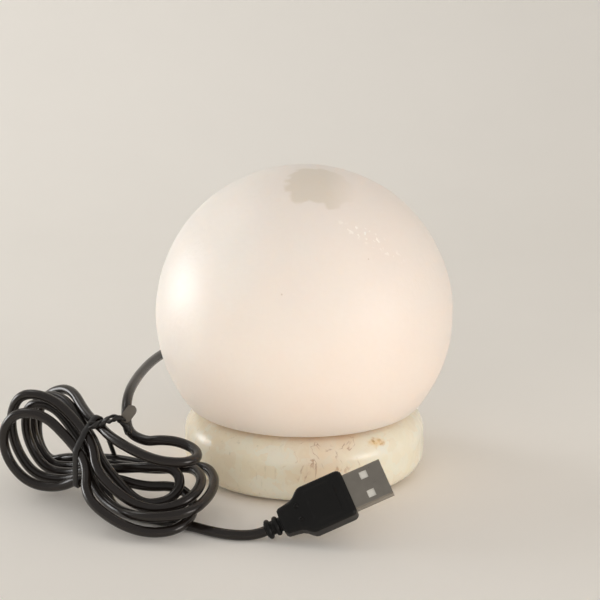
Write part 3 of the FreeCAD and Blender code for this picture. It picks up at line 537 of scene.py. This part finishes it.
class SaltLampBall(bpy.types.Operator):
    """Makes the carved salt ball"""
    bl_idname = "salt_lamp.ball"
    bl_label = "Salt Ball"

    def execute(self, context):
        centre = BALL_CENTRE.z
        foot = BALL_LOW[2]
        bore = 16.5 * MM
        bore_top = foot + 28 * MM
        edge = 4 * MM
        near_pole = 89.4
        edge_drop = centre - foot - edge
        edge_radius = math.sqrt((BALL_RADIUS - edge) ** 2 - edge_drop ** 2)
        start = -math.degrees(math.atan2(edge_drop, edge_radius))
        profile = [(0, bore_top)]
        profile += run(((1 * MM, bore_top), (bore, bore_top), (bore, foot), (edge_radius, foot)), 6, 14, 10)
        profile += arc(edge_radius, foot + edge, edge, -90, start, 10)[:-1]
        profile += arc(0, centre, BALL_RADIUS, start, near_pole, 170)
        profile += [(0, centre + BALL_RADIUS)]
        ball = turned("SaltBall", profile, segments=336)
        weigh_outside(ball, ball_weight)
        run_tree(ball, surface_tree(), {
            "Wave height": sizes().ball_swell, "Wave size": 24 * MM, "Grain height": 0.07 * MM,
            "Grain size": 4 * MM, "Pit depth": sizes().ball_pit, "Pit size": 6 * MM, "Pit share": 0.1,
            "Material": salt_material(),
        })
        place_piece(ball, "salt", "ball", "salt_ball")
        return {"FINISHED"}


def ball_weight(place):
    """1 on the round of the ball, 0 in its bore and on its flat, eased at the edge."""
    slack = 0.05 * MM
    edge = 1 * MM
    if (Vector(place) - BALL_CENTRE).length < BALL_RADIUS - slack:
        return 0.0
    return eased(place[2] - BALL_LOW[2] - edge, 4 * MM)


# Corners of the base: the foot and the height of the shoulder are those of the part's source. The
# shoulder starts further in than it does there, as the photo shows.
BASE_RADIUS = (BASE_HIGH[0] - BASE_LOW[0]) / 2
BASE_SHOULDER = 9 * MM
BASE_FOOT = 6.5 * MM
SHOULDER_REACH = 12.5 * MM


class SaltLampBase(bpy.types.Operator):
    """Makes the polished stone base and the felt under it"""
    bl_idname = "salt_lamp.base"
    bl_label = "Stone Base"

    def execute(self, context):
        low = BASE_LOW[2]
        top = BASE_HIGH[2]
        bore = 13.3 * MM
        seat = 18.3 * MM
        seat_floor = top - 2.2 * MM
        cavity = 20 * MM
        cavity_top = low + 11 * MM
        cover = 25 * MM
        cover_top = low + 2.4 * MM
        shoulder = BASE_RADIUS - SHOULDER_REACH
        profile = run(((cover, low), (BASE_RADIUS - BASE_FOOT, low)), 6)
        profile += arc(BASE_RADIUS - BASE_FOOT, low + BASE_FOOT, BASE_FOOT, -90, 0, 14)
        profile += run(((BASE_RADIUS, low + BASE_FOOT + 0.4 * MM), (BASE_RADIUS, top - BASE_SHOULDER)), 14)
        profile += [(shoulder + r * SHOULDER_REACH / BASE_SHOULDER, z)
                    for r, z in arc(0, top - BASE_SHOULDER, BASE_SHOULDER, 0, 90, 24)]
        profile += run(((shoulder - 0.5 * MM, top), (seat, top), (seat, seat_floor), (bore, seat_floor),
                        (bore, cavity_top), (cavity, cavity_top), (cavity, cover_top), (cover, cover_top),
                        (cover, low)), 14, 2, 3, 4, 3, 4, 3, 2)
        base = turned("StoneBase", profile, segments=256, ends="joined")
        weigh_outside(base, base_weight)
        run_tree(base, surface_tree(), {
            "Wave height": sizes().base_swell, "Wave size": 20 * MM, "Grain height": 0.08 * MM,
            "Grain size": 3.5 * MM, "Pit depth": sizes().base_pit, "Pit size": 5 * MM, "Pit share": 0.12,
            "Material": onyx_material(),
        })
        place_piece(base, "onyx", "base", "stone_base")
        rim = PAD_HIGH[0]
        pad_top = PAD_HIGH[2]
        edge = 0.3 * MM
        outline = [(0, 0)]
        outline += run(((1 * MM, 0), (rim - edge, 0)), 20)
        outline += arc(rim - edge, edge, edge, -90, 0, 4)
        outline += arc(rim - edge, pad_top - edge, edge, 0, 90, 4)
        outline += run(((rim - 1 * MM, pad_top), (1 * MM, pad_top)), 6)
        outline += [(0, pad_top)]
        pad = turned("FeltPad", outline, segments=160)
        dress(pad, felt_material())
        place_piece(pad, "felt", "base", "felt_pad")
        return {"FINISHED"}


def base_weight(place):
    """1 on the outside of the base, 0 in its bores, eased to the flat top and underside."""
    out = math.hypot(place[0], place[1]) - BASE_RADIUS + SHOULDER_REACH
    return min(eased(out, 3 * MM), eased(place[2] - BASE_LOW[2], 2 * MM))


# Finish of each plastic fitting: solid, name, colour, roughness, grain size and depth, cloudiness.
FITTINGS = (
    # white ABS from a sparked mould: its gloss is broken
    ("led_holder", "White moulded ABS", "#EDEAE3", 0.5, 0.5 * MM, 0.02 * MM, 0.03),
    # black ABS from the same kind of mould
    ("bottom_cover", "Black moulded ABS", "#1A1918", 0.5, 0.5 * MM, 0.02 * MM, 0.25),
    # solder mask: a thin white lacquer, half gloss
    ("led_board", "White solder mask", "#E9ECE8", 0.35, 0.8 * MM, 0.01 * MM, 0.02),
    # phosphor set in clear gel: yellow and glossy
    ("led_chips", "Phosphor gel", "#F2D36B", 0.3, 0.6 * MM, 0.01 * MM, 0.1),
    # fired glaze: black and smooth
    ("board_resistors", "Black resistor glaze", "#161616", 0.4, 0.4 * MM, 0.01 * MM, 0.25),
    # undyed nylon: milky, waxy to the eye
    ("strain_tie", "Natural nylon", "#E3DFD3", 0.45, 0.6 * MM, 0.02 * MM, 0.04),
    # soft wire covers: satin, one red and one black
    ("wire_positive", "Red wire PVC", "#B3201D", 0.4, 0.5 * MM, 0.01 * MM, 0.25),
    ("wire_negative", "Black wire PVC", "#171616", 0.4, 0.5 * MM, 0.01 * MM, 0.25),
    # insulator of the plug: white and smooth, its colour painted a little greyer as painted shade inside
    # the shell
    ("plug_tongue", "White insulator", "#D6D3CA", 0.4, 0.6 * MM, 0.01 * MM, 0.03),
)


class SaltLampLight(bpy.types.Operator):
    """Makes the dome over the light and finishes the fittings"""
    bl_idname = "salt_lamp.light"
    bl_label = "Light and Fittings"

    def execute(self, context):
        low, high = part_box("diffuser_dome")
        dome_radius = 13.5 * MM
        wall = 1.2 * MM
        skirt = 12.7 * MM
        lip = 15 * MM
        edge = 0.3 * MM
        lip_top = high[2] - dome_radius
        lip_low = lip_top - wall
        profile = [(0, high[2] - wall)]
        profile += arc(0, lip_top, dome_radius - wall, 88, 0, 28)
        profile += [(skirt - wall, lip_top), (skirt - wall, low[2]), (skirt, low[2]), (skirt, lip_low)]
        profile += [(lip - edge, lip_low), (lip, lip_low + edge), (lip, lip_top - edge)]
        profile += [(lip - edge, lip_top), (dome_radius, lip_top)]
        profile += arc(0, lip_top, dome_radius, 2, 89, 34)
        profile += [(0, high[2])]
        dome = turned("FrostedDome", profile, segments=128)
        dress(dome, frosted_material())
        place_piece(dome, "frosted", "base", "diffuser_dome")
        for node, name, code, roughness, grain_size, grain_depth, change in FITTINGS:
            finish = plastic_material(name, linear(code), roughness, grain_size, grain_depth, change)
            dress_node(node, finish)
        zinc = metal_material("Zinc plated steel", linear("#C9CACB"), 0.32, 1.5 * MM)
        dress_node("cover_screws", zinc)
        dress_node("board_screws", zinc)
        return {"FINISHED"}


# Cord: corner points of its route in millimetres, the same as in the part's source, apart from the
# dip with which the lead goes into the bundle and the first left loop, which lies 3 mm further out.
LEAD_ROUTE = (
    (0, 49.45, 8), (0, 56.95, 8), (-3.2, 65.0, 9.8), (-12.0, 69.5, 14.5), (-23.0, 66.8, 20.5),
    (-33.2, 58.6, 26.0), (-41.2, 47.2, 29.6), (-47.8, 34.2, 31.6), (-52.0, 19.8, 32.8),
    (-54.8, 5.8, 33.5), (-56.8, -7.0, 33.7),
)
BUNDLE_START = Vector((-58.1, -26.0, 32.0))
BUNDLE_IN = Vector((0.03, -0.98, -0.2)).normalized()
BUNDLE_END = Vector((-56.5, -49.5, 1.9))
BUNDLE_OUT = Vector((0.8, -0.6, -0.02)).normalized()
LEAD_DIP = ((-58.5, -28.4, 30.2), (-57.7, -34.2, 24.2), (-51.2, -39.4, 22.8), (-46.5, -42.0, 24.4))
PLUG_FOOT = Vector((-12.0, -66.9, 3.0))
PLUG_TURN = (Matrix.Rotation(math.radians(7), 3, "Z") @ Matrix.Rotation(math.radians(-23), 3, "Y")
             @ Matrix.Rotation(math.radians(52), 3, "X"))
PLUG_AXIS = PLUG_TURN @ Vector((1, 0, 0))
TAIL_ROUTE = (
    (-48.5, -53.6, 1.75), (-42.0, -56.6, 1.72), (-35.5, -59.8, 1.72), (-29.5, -64.2, 1.72),
    (-22.5, -67.4, 1.72),
)

# How far the cord runs straight before and after the bundle and before the plug, in millimetres.
LEAD_STRAIGHT = 6
TAIL_STRAIGHT = 5
PLUG_STRAIGHT = 3.3

# Loops in the cord's order: the middle, the way from it to the tip and the way to the arriving side.
RIGHT_LOOPS = (
    ((-42.9, -49.8, 23.3), (8.7, 0.2, -1.1), (-1.1, 7.8, 0.9)),
    ((-40.2, -51.1, 10.4), (11.0, 0.7, 0.8), (2.1, 16.6, 2.2)),
    ((-46.9, -49.4, 11.7), (7.0, -0.9, 0.7), (0.4, 5.2, 4.3)),
    ((-42.6, -51.1, 11.4), (9.5, -1.9, 1.8), (1.6, 11.1, 2.7)),
    ((-45.6, -56.8, 6.4), (10.3, 0.5, 0.3), (-0.4, 11.8, 3.2)),
)
LEFT_LOOPS = (
    ((-83.6, -11.8, 18.8), (-7.3, 6.3, -4.0), (0.2, -0.2, 12.3)),
    ((-84.9, -22.5, 18.2), (-7.8, 5.0, -0.5), (-2.2, -0.5, 12.1)),
    ((-83.4, -17.1, 18.7), (-8.1, 5.6, -1.6), (-1.5, -0.2, 12.4)),
    ((-86.7, -27.0, 20.2), (-10.2, 4.5, 0.0), (-2.0, 0.0, 14.6)),
    ((-87.8, -32.4, 17.5), (-11.1, 4.4, -0.3), (-2.1, 0.6, 12.5)),
)

# Places in front of the bundle where the cord climbs to the tie, then where it passes through the tie.
CLIMBS = ((-60.8, -47.5, 26.6), (-66.9, -48.5, 10.3), (-63.3, -45.0, 15.4), (-64.0, -53.0, 15.4),
          (-65.1, -61.5, 8.5))
FRONT_PASSES = ((-66.9, -38.2, 28.4), (-72.4, -36.5, 20.8), (-70.2, -34.8, 24.3), (-70.1, -40.5, 25.1),
                (-73.3, -42.3, 21.0))
BACK_PASSES = ((-69.1, -23.1, 11.2), (-68.1, -33.3, 11.0), (-68.6, -28.3, 11.0), (-67.6, -38.4, 10.5),
               (-67.2, -43.3, 9.6))


def loop_stations(loop):
    """Where a loop leaves, turns and comes back, each a point and a direction."""
    middle, tip, side = (Vector(part) for part in loop)
    return [(middle + side, tip.normalized()), (middle + tip, -side.normalized()),
            (middle - side, -tip.normalized())]


def heading_at(before, here, after):
    """The direction of the circle through three points at the middle one."""
    into = here - before
    out = after - here
    return (into.normalized() * out.length + out.normalized() * into.length).normalized()


def bundle_stations(diameter):
    """All points and directions of the bundled cord in order, in millimetres."""
    stations = [(BUNDLE_START + BUNDLE_IN * diameter, BUNDLE_IN)]
    arrivals = [loop_stations(loop)[0][0] for loop in RIGHT_LOOPS] + [BUNDLE_END]
    for turn, loop in enumerate(RIGHT_LOOPS):
        right = loop_stations(loop)
        left = loop_stations(LEFT_LOOPS[turn])
        climb = Vector(CLIMBS[turn])
        front = Vector(FRONT_PASSES[turn])
        back = Vector(BACK_PASSES[turn])
        stations += right
        stations.append((climb, heading_at(right[2][0], climb, front)))
        stations.append((front, heading_at(climb, front, left[0][0])))
        stations += left
        stations.append((back, heading_at(left[2][0], back, arrivals[turn + 1])))
    stations.append((BUNDLE_END - BUNDLE_OUT * diameter, BUNDLE_OUT))
    return stations


def corner_points(stations):
    """Corners of the bundle's route: where the directions of neighbouring stations are met."""
    corners = []
    for (start, heading), (end, arriving) in zip(stations, stations[1:]):
        across = end - start
        along = across.dot(heading + arriving)
        spread = 2 * (1 - heading.dot(arriving))
        if spread < 1e-9:
            reach = across.dot(across) / (2 * along)
        else:
            reach = (math.sqrt(along ** 2 + spread * across.dot(across)) - along) / spread
        corners += [start + heading * reach, end - arriving * reach]
    return corners


def cord_points(diameter):
    """Control points of the whole cord, in metres. The dip takes the place of the bundle's first two."""
    points = [*LEAD_ROUTE, BUNDLE_START - BUNDLE_IN * LEAD_STRAIGHT, *LEAD_DIP]
    points += corner_points(bundle_stations(diameter))[2:]
    points += [BUNDLE_END + BUNDLE_OUT * TAIL_STRAIGHT, *TAIL_ROUTE]
    points += [PLUG_FOOT - PLUG_AXIS * PLUG_STRAIGHT, PLUG_FOOT]
    return [Vector(point) * MM for point in points]


def cord_curve(name, points, thickness):
    """A smooth curve through the neighbourhood of its control points."""
    curve = bpy.data.curves.new(name, "CURVE")
    curve.dimensions = "3D"
    curve.resolution_u = 8
    curve.bevel_depth = thickness
    curve.bevel_resolution = 6
    curve.use_fill_caps = True
    spline = curve.splines.new("NURBS")
    spline.points.add(len(points) - 1)
    for place, point in zip(spline.points, points):
        place.co = (*point, 1)
    spline.order_u = 3
    spline.use_endpoint_u = True
    return curve


def smooth_line(points):
    """Points of the smooth line that a cord or wire follows."""
    curve = cord_curve("Line", points, 0)
    piece = bpy.data.objects.new("Line", curve)
    bpy.context.scene.collection.objects.link(piece)
    graph = bpy.context.evaluated_depsgraph_get()
    mesh = bpy.data.meshes.new_from_object(piece.evaluated_get(graph))
    line = [vertex.co.copy() for vertex in mesh.vertices]
    bpy.data.objects.remove(piece)
    bpy.data.curves.remove(curve)
    bpy.data.meshes.remove(mesh)
    return line


class SaltLampCord(bpy.types.Operator):
    """Lays the cord from the back of the base through the bundle to the plug"""
    bl_idname = "salt_lamp.cord"
    bl_label = "Cord"

    def execute(self, context):
        diameter = sizes().cord_diameter
        curve = cord_curve("PowerCord", cord_points(diameter / MM), diameter / 2)
        cord = bpy.data.objects.new("PowerCord", curve)
        context.scene.collection.objects.link(cord)
        # extruded PVC: smooth and satin, with long soft highlights
        vinyl = plastic_material("Extruded black PVC", colours().cord, 0.24, 1.2 * MM, 0.012 * MM)
        curve.materials.append(vinyl)
        dress_node("cord_inner", vinyl)
        dress_node("cord_grommet", vinyl)
        place_piece(cord, "black_pvc", "base", "cord_lead", "cord_hank", "cord_tail")
        return {"FINISHED"}


# Plane in which the tie goes round the bundle, and how far from its middle it finds cord, in millimetres.
TIE_MIDDLE = Vector((-70.0, -37.0, 17.0))
TIE_ACROSS = Vector((0.85, -0.5, -0.2)).normalized()
TIE_SIDE = Vector((0, 0, 1)).cross(TIE_ACROSS).normalized()
TIE_UP = TIE_ACROSS.cross(TIE_SIDE)
TIE_REACH = 40

# The knot: the middle of its twisted wires, in millimetres, and the flat end that stands out of it.
KNOT_ROUTE = ((-69.2, -40.4, 28.7), (-67.2, -41.2, 29.0), (-65.3, -42.0, 29.6), (-63.4, -43.4, 31.3),
              (-60.5, -44.2, 32.8), (-58.3, -44.2, 31.8), (-56.9, -44.0, 29.4), (-56.4, -43.6, 27.2))
FLAT_END_ROOT = Vector((-58.4, -43.8, 30.8))
FLAT_END_TIP = Vector((-54.4, -42.6, 36.0))
TOWARDS_VIEWER = Vector((0.0, -0.96, 0.28))


def tie_places(line):
    """Where the cord crosses the plane of the tie."""
    places = []
    for one, two in zip(line, line[1:]):
        one_side = (one / MM - TIE_MIDDLE).dot(TIE_ACROSS)
        two_side = (two / MM - TIE_MIDDLE).dot(TIE_ACROSS)
        if one_side == two_side or one_side * two_side > 0:
            continue
        spot = one.lerp(two, one_side / (one_side - two_side)) / MM - TIE_MIDDLE
        if spot.length < TIE_REACH:
            places.append((spot.dot(TIE_SIDE), spot.dot(TIE_UP)))
    return places


def outline_of(places):
    """The outermost of the points, in order round them."""
    here = min(places)
    hull = []
    while here not in hull:
        hull.append(here)
        others = [place for place in places if place != here]
        best = others[0]
        for place in others[1:]:
            turn = (best[0] - here[0]) * (place[1] - here[1]) - (best[1] - here[1]) * (place[0] - here[0])
            if turn < 0:
                best = place
        here = best
    return hull


def band_path(hull, gap):
    """A loop at a distance round the outermost points, with its outward directions."""
    path = []
    steps = 8
    for before, here, after in zip(hull[-1:] + hull[:-1], hull, hull[1:] + hull[:1]):
        into = Vector(here) - Vector(before)
        away = Vector(after) - Vector(here)
        first = math.atan2(-into.x, into.y)
        last = math.atan2(-away.x, away.y)
        if last < first:
            last += 2 * math.pi
        for step in range(steps + 1):
            angle = first + (last - first) * step / steps
            outward = Vector((math.cos(angle), math.sin(angle)))
            path.append((Vector(here) + outward * gap, outward))
    return path


def sweep(form, frames, section, ends, finish=0):
    """Sweeps a flat section along frames, each a place with its two side directions."""
    rings = [[form.verts.new(place + along_x * x + along_y * y) for x, y in section]
             for place, along_x, along_y in frames]
    for face in skin(form, rings, ends):
        face.material_index = finish


def flat_section(width, thickness):
    """A strip's section with its edges taken off."""
    w = width / 2
    t = thickness / 2
    c = thickness * 0.3
    return [(w, -t + c), (w, t - c), (w - c, t), (-w + c, t), (-w, t - c), (-w, -t + c), (-w + c, -t),
            (w - c, -t)]


class SaltLampTie(bpy.types.Operator):
    """Makes the flat twist tie round the bundle"""
    bl_idname = "salt_lamp.tie"
    bl_label = "Twist Tie"

    def execute(self, context):
        diameter = sizes().cord_diameter
        thick = 0.6 * MM
        clearance = 0.6
        drift_reach = 0.35
        form = bmesh.new()
        corners = corner_points(bundle_stations(diameter / MM))
        hull = outline_of(tie_places(smooth_line([corner * MM for corner in corners])))
        path = band_path(hull, diameter / MM / 2 + clearance)
        # the band round the bundle
        frames = []
        for k, (flat, outward) in enumerate(path):
            drift = drift_reach * math.sin(4 * math.pi * k / len(path))
            place = TIE_MIDDLE + TIE_SIDE * flat.x + TIE_UP * flat.y + TIE_ACROSS * drift
            out = TIE_SIDE * outward.x + TIE_UP * outward.y
            frames.append((place * MM, TIE_ACROSS, out))
        sweep(form, frames, flat_section(sizes().tie_width, thick), "joined")
        # the knot: two ends of the band, twisted about each other
        line = smooth_line([Vector(place) * MM for place in KNOT_ROUTE])
        strand_width = 1.8 * MM
        strand_thick = 0.75 * MM
        strand_out = 0.7 * MM
        twist = 720
        for strand in (0, 180):
            frames = []
            for k, place in enumerate(line):
                along = line[min(k + 1, len(line) - 1)] - line[max(k - 1, 0)]
                side = along.cross(TOWARDS_VIEWER).normalized()
                face = side.cross(along).normalized()
                angle = math.radians(strand + twist * k / (len(line) - 1))
                out = side * math.cos(angle) + face * math.sin(angle)
                flat = face * math.cos(angle) - side * math.sin(angle)
                frames.append((place + out * strand_out, flat, out))
            sweep(form, frames, flat_section(strand_width, strand_thick), "capped")
        # the flat end: it widens from its root, is rounded at its tip and bows a little
        tip = FLAT_END_TIP - FLAT_END_ROOT
        across = TOWARDS_VIEWER.cross(tip).normalized()
        face = tip.cross(across).normalized()
        widest = 1.75
        root_share = 0.5
        widening = 1.8
        round_from = 0.72
        bow = 0.6
        steps = 24
        frames = []
        for k in range(steps + 1):
            share = k / steps
            half = widest * min(1.0, root_share + share * widening)
            if share > round_from:
                half *= math.sqrt(max(0.01, 1 - ((share - round_from) / (1 - round_from)) ** 2))
            bend = face * (bow * math.sin(math.pi * share))
            frames.append(((FLAT_END_ROOT + tip * share + bend) * MM, across * half, face))
        sweep(form, frames, flat_section(2 * MM, thick), "capped", finish=1)
        tie = piece_from(form, "TwistTie", sharp=50)
        # rolled PVC strip over a wire: satin black
        dress(tie, plastic_material("Black tie PVC", linear("#171412"), 0.42, 0.8 * MM, 0.02 * MM))
        # the flat end, where the strip is pressed without its wire: thin and dull, the same black PVC with
        # its colour painted greyer as painted light on a face turned to the lamp
        dress(tie, plastic_material("Tie PVC painted lighter", linear("#5E5850"), 0.5, 0.8 * MM, 0.02 * MM, 0.1))
        place_piece(tie, "tie", "base", "twist_tie")
        return {"FINISHED"}


PLUG_PLACE = Matrix.Translation(PLUG_FOOT * MM) @ PLUG_TURN.to_4x4()

# Grip: places along the plug with half width, half thickness and corner radius, in millimetres.
GRIP_SECTIONS = (
    (0.0, 2.2, 2.2, 2.1), (5.3, 2.3, 2.3, 2.2), (5.5, 3.9, 3.1, 1.6), (6.2, 4.4, 3.4, 1.5),
    (9.0, 4.8, 3.45, 1.4), (10.6, 5.1, 3.5, 1.4), (11.8, 5.8, 3.6, 1.4), (13.0, 6.9, 3.8, 1.4),
    (14.0, 7.6, 3.95, 1.3), (14.9, 7.8, 4.0, 1.2), (20.0, 7.8, 4.0, 1.1), (26.6, 7.8, 4.0, 1.1),
    (27.5, 7.75, 3.95, 1.2), (28.2, 7.45, 3.7, 1.2), (28.7, 6.9, 3.2, 1.0), (28.8, 6.2, 2.4, 0.6),
)

# Distance between the grip's rings, and the slack by which a point counts as on its flat.
RING_PITCH = 0.35
SLACK = 0.02

# Panel and rib that stand out of the wide faces: start, end, length of the slope, half width and height.
RAISED_PARTS = ((15.4, 24.7, 0.7, 6.0, 0.35), (24.9, 26.6, 0.4, 5.5, 0.28))
SIDE_SLOPE = 0.6
RELIEF_END = 27.4

# Two small studs on the neck, and the inner and outer radius of their edge.
STUDS = ((11.8, -2.2), (11.8, 2.4))
STUD_HEIGHT = 0.9
STUD_EDGE = (0.4, 0.75)


def section_at(along):
    """Half width, half thickness and corner of the grip at a place along it."""
    for one, two in zip(GRIP_SECTIONS, GRIP_SECTIONS[1:]):
        if along <= two[0]:
            share = (along - one[0]) / (two[0] - one[0])
            return [a + (b - a) * share for a, b in zip(one[1:], two[1:])]
    return list(GRIP_SECTIONS[-1][1:])


def grip_ring(half_width, half_depth, corner):
    """Points round a rectangle with rounded corners."""
    corner = min(corner, half_width - SLACK, half_depth - SLACK)
    steps = 6
    quarters = []
    for sy, sz, first in ((1, 1, 0), (-1, 1, 90), (-1, -1, 180), (1, -1, 270)):
        quarters.append(arc(sy * (half_width - corner), sz * (half_depth - corner), corner,
                            first, first + 90, steps))
    points = []
    for quarter, following, count in zip(quarters, quarters[1:] + quarters[:1], (28, 8, 28, 8)):
        points += quarter + run((quarter[-1], following[0]), count)[1:]
    return points


def step_between(value, low, high):
    """A smooth step from 0 at low to 1 at high."""
    share = eased(value - low, high - low)
    return share * share * (3 - 2 * share)


def grip_relief(along, across):
    """How far the wide faces of the grip stand out at a place."""
    relief = 0
    for start, end, slope, half_width, height in RAISED_PARTS:
        share = step_between(along, start, start + slope) * (1 - step_between(along, end - slope, end))
        relief += height * share * (1 - step_between(abs(across), half_width - SIDE_SLOPE, half_width))
    for place in STUDS:
        gap = math.hypot(along - place[0], across - place[1])
        relief += STUD_HEIGHT * (1 - step_between(gap, *STUD_EDGE))
    return relief


def rib_tree():
    """Node tree that sets rounded ribs in a row along the plug's boot."""
    numbers = ("First", "Pitch", "Rib radius", "Rib width")
    tree, node, given = new_tree("Boot ribs", {
        "Count": "Int", **dict.fromkeys(numbers, "Float"), "Material": "Material"})
    start = node("ShaderNodeCombineXYZ", {"X": given["First"]})
    pitch = node("ShaderNodeCombineXYZ", {"X": given["Pitch"]})
    row = node("GeometryNodeMeshLine", {
        "Count": given["Count"], "Start Location": start, "Offset": pitch}, mode="OFFSET")
    ring, bead = (
        node("GeometryNodeCurvePrimitiveCircle", {"Resolution": points, "Radius": given[radius]})
        for points, radius in ((48, "Rib radius"), (14, "Rib width")))
    rib = node("GeometryNodeCurveToMesh", {"Curve": ring, "Profile Curve": bead})
    rib = node("GeometryNodeSetShadeSmooth", [rib])
    placed = node("GeometryNodeInstanceOnPoints", {
        "Points": row, "Instance": rib, "Rotation": (0, math.radians(90), 0)})
    finish_tree(node, placed, given["Material"])
    return tree


class SaltLampPlug(bpy.types.Operator):
    """Makes the plug's moulded grip and boot and finishes its metal"""
    bl_idname = "salt_lamp.plug"
    bl_label = "Plug"

    def execute(self, context):
        # PVC moulded over the plug: dull black, with the fine grain of a sparked mould
        moulded = plastic_material("Moulded black PVC", colours().grip, 0.44, 0.5 * MM, 0.03 * MM,
                                   shine=0.25)
        form = bmesh.new()
        rings = []
        count = int(GRIP_SECTIONS[-1][0] / RING_PITCH) + 1
        stops = sorted({round(RING_PITCH * k, 3) for k in range(count)} | {row[0] for row in GRIP_SECTIONS})
        for along in stops:
            half_width, half_depth, corner = section_at(along)
            ring = []
            for y, z in grip_ring(half_width, half_depth, corner):
                if abs(z) > half_depth - SLACK and along < RELIEF_END:
                    z += math.copysign(grip_relief(along, y), z)
                ring.append(form.verts.new(Vector((along, y, z)) * MM))
            rings.append(ring)
        skin(form, rings, "capped")
        grip = piece_from(form, "PlugGrip", sharp=45)
        grip.data.transform(PLUG_PLACE)
        dress(grip, moulded)
        place_piece(grip, "black_pvc", "base", "plug_body")
        ribs = bpy.data.objects.new("BootRibs", bpy.data.meshes.new("BootRibs"))
        context.scene.collection.objects.link(ribs)
        run_tree(ribs, rib_tree(), {"Count": 2, "First": 1.1 * MM, "Pitch": 2.7 * MM,
                                    "Rib radius": 2.3 * MM, "Rib width": 0.9 * MM, "Material": moulded})
        ribs.data.transform(PLUG_PLACE)
        place_piece(ribs, "black_pvc", "base")
        # rolled steel under thin nickel: grey, with blurred reflections
        dress_node("plug_shell", metal_material("Nickel plated steel", colours().steel, 0.3, 2.5 * MM))
        # brass with a flash of gold: warm and bright
        dress_node("plug_contacts", metal_material("Gold flashed brass", linear("#D9B45E"), 0.25, 1 * MM))
        return {"FINISHED"}


def area_light(name, place, target, width, height, power, tint, spread=180):
    """A soft lamp that faces a target, with its beam's angle in degrees."""
    light = bpy.data.lights.new(name, "AREA")
    light.shape = "RECTANGLE"
    light.size = width
    light.size_y = height
    light.energy = power
    light.color = linear(tint)[:3]
    light.spread = math.radians(spread)
    lamp = bpy.data.objects.new(name, light)
    lamp.location = place
    lamp.rotation_euler = (Vector(target) - Vector(place)).to_track_quat("-Z", "Y").to_euler()
    lamp.visible_camera = False
    bpy.context.scene.collection.objects.link(lamp)
    return lamp


class SaltLampStage(bpy.types.Operator):
    """Sets the camera, the lamps and the paper sweep"""
    bl_idname = "salt_lamp.stage"
    bl_label = "Stage"

    def execute(self, context):
        scene = context.scene
        form = bmesh.new()
        front = -2.0
        wall = 0.72
        bend = 0.4
        paper_top = 2.4
        half_width = 3.0
        outline = [(front, 0.0), *arc(wall - bend, bend, bend, -90, 0, 24), (wall, paper_top)]
        rows = [[form.verts.new((x, y, z)) for x in (-half_width, half_width)] for y, z in outline]
        for one, two in zip(rows, rows[1:]):
            form.faces.new((one[0], one[1], two[1], two[0]))
        paper = piece_from(form, "PaperSweep", sharp=60)
        # its faces look at the lamp, because the paper is clear from behind
        paper.data.flip_normals()
        dress(paper, paper_material())
        world = bpy.data.worlds.new("Studio")
        world.use_nodes = True
        sky = world.node_tree
        sky.nodes.clear()
        way = add_node(sky, "ShaderNodeTexCoord").node.outputs["Generated"]
        height = add_node(sky, AXES, [way]).node.outputs["Z"]
        level = add_node(sky, RANGE, {
            "Value": height, "From Min": 0.0, "From Max": 0.9, "To Min": 0.5, "To Max": 0.44})
        light = add_node(sky, "ShaderNodeBackground", {"Color": linear("#FFFDFA"), "Strength": level})
        add_node(sky, "ShaderNodeOutputWorld", {"Surface": light})
        scene.world = world
        target = (0, 0, 0.05)
        # softboxes with narrow beams, so the floor beside them is not burnt out
        area_light("LeftSoftbox", (-0.8, 0.24, 0.15), target, 0.46, 0.28, 0.33, "#FFFFFF", 60)
        area_light("RightSoftbox", (0.75, -0.48, 0.18), target, 0.4, 0.3, 0.26, "#FFF8F2", 60)
        fill = area_light("FrontFill", (-0.1, -1.3, 0.55), target, 2.0, 0.9, 6.2, "#FFFAF6")
        # the fill is not mirrored, so the black cord and plug stay dark
        fill.visible_glossy = False
        area_light("BackdropLight", (-0.7, 0.5, 0.95), (-0.15, 0.5, 0.0), 0.5, 0.3, 0.4, "#FFFFFF", 70)
        lens = bpy.data.cameras.new("Camera")
        lens.lens = 124.3
        lens.sensor_width = 36
        lens.clip_start = 0.01
        camera = bpy.data.objects.new("Camera", lens)
        camera.location = (0.0, -0.6729, 0.2479)
        aim_at = Vector((-0.00145, 0.0012, 0.0591))
        camera.rotation_euler = (aim_at - camera.location).to_track_quat("-Z", "Y").to_euler()
        scene.collection.objects.link(camera)
        scene.camera = camera
        scene.view_settings.view_transform = "Standard"
        return {"FINISHED"}


class SaltLampPanel(bpy.types.Panel):
    """Lists the steps that make the lamp"""
    bl_idname = "SALTLAMP_PT_steps"
    bl_label = "Salt Lamp"
    bl_space_type = "VIEW_3D"
    bl_region_type = "UI"
    bl_category = "Salt Lamp"

    def draw(self, context):
        for step in STEPS:
            self.layout.operator(step.bl_idname)
        for group in (sizes(), colours()):
            for name in group.bl_rna.properties.keys():
                if name not in ("rna_type", "name"):
                    self.layout.prop(group, name)


STEPS = (SaltLampStage, SaltLampCord, SaltLampBall, SaltLampBase, SaltLampLight, SaltLampTie, SaltLampPlug)
CLASSES = (SaltLampSizes, SaltLampColours, SaltLampSettings, *STEPS, SaltLampPanel)


def register():
    for cls in CLASSES:
        bpy.utils.register_class(cls)
    bpy.types.Scene.salt_lamp = bpy.props.PointerProperty(type=SaltLampSettings)


def unregister():
    del bpy.types.Scene.salt_lamp
    for cls in reversed(CLASSES):
        bpy.utils.unregister_class(cls)


def main():
    register()
    bpy.ops.salt_lamp.stage()
    bpy.ops.salt_lamp.cord()
    bpy.ops.salt_lamp.ball()
    bpy.ops.salt_lamp.base()
    bpy.ops.salt_lamp.light()
    bpy.ops.salt_lamp.tie()
    bpy.ops.salt_lamp.plug()


if __name__ == "__main__":
    main()
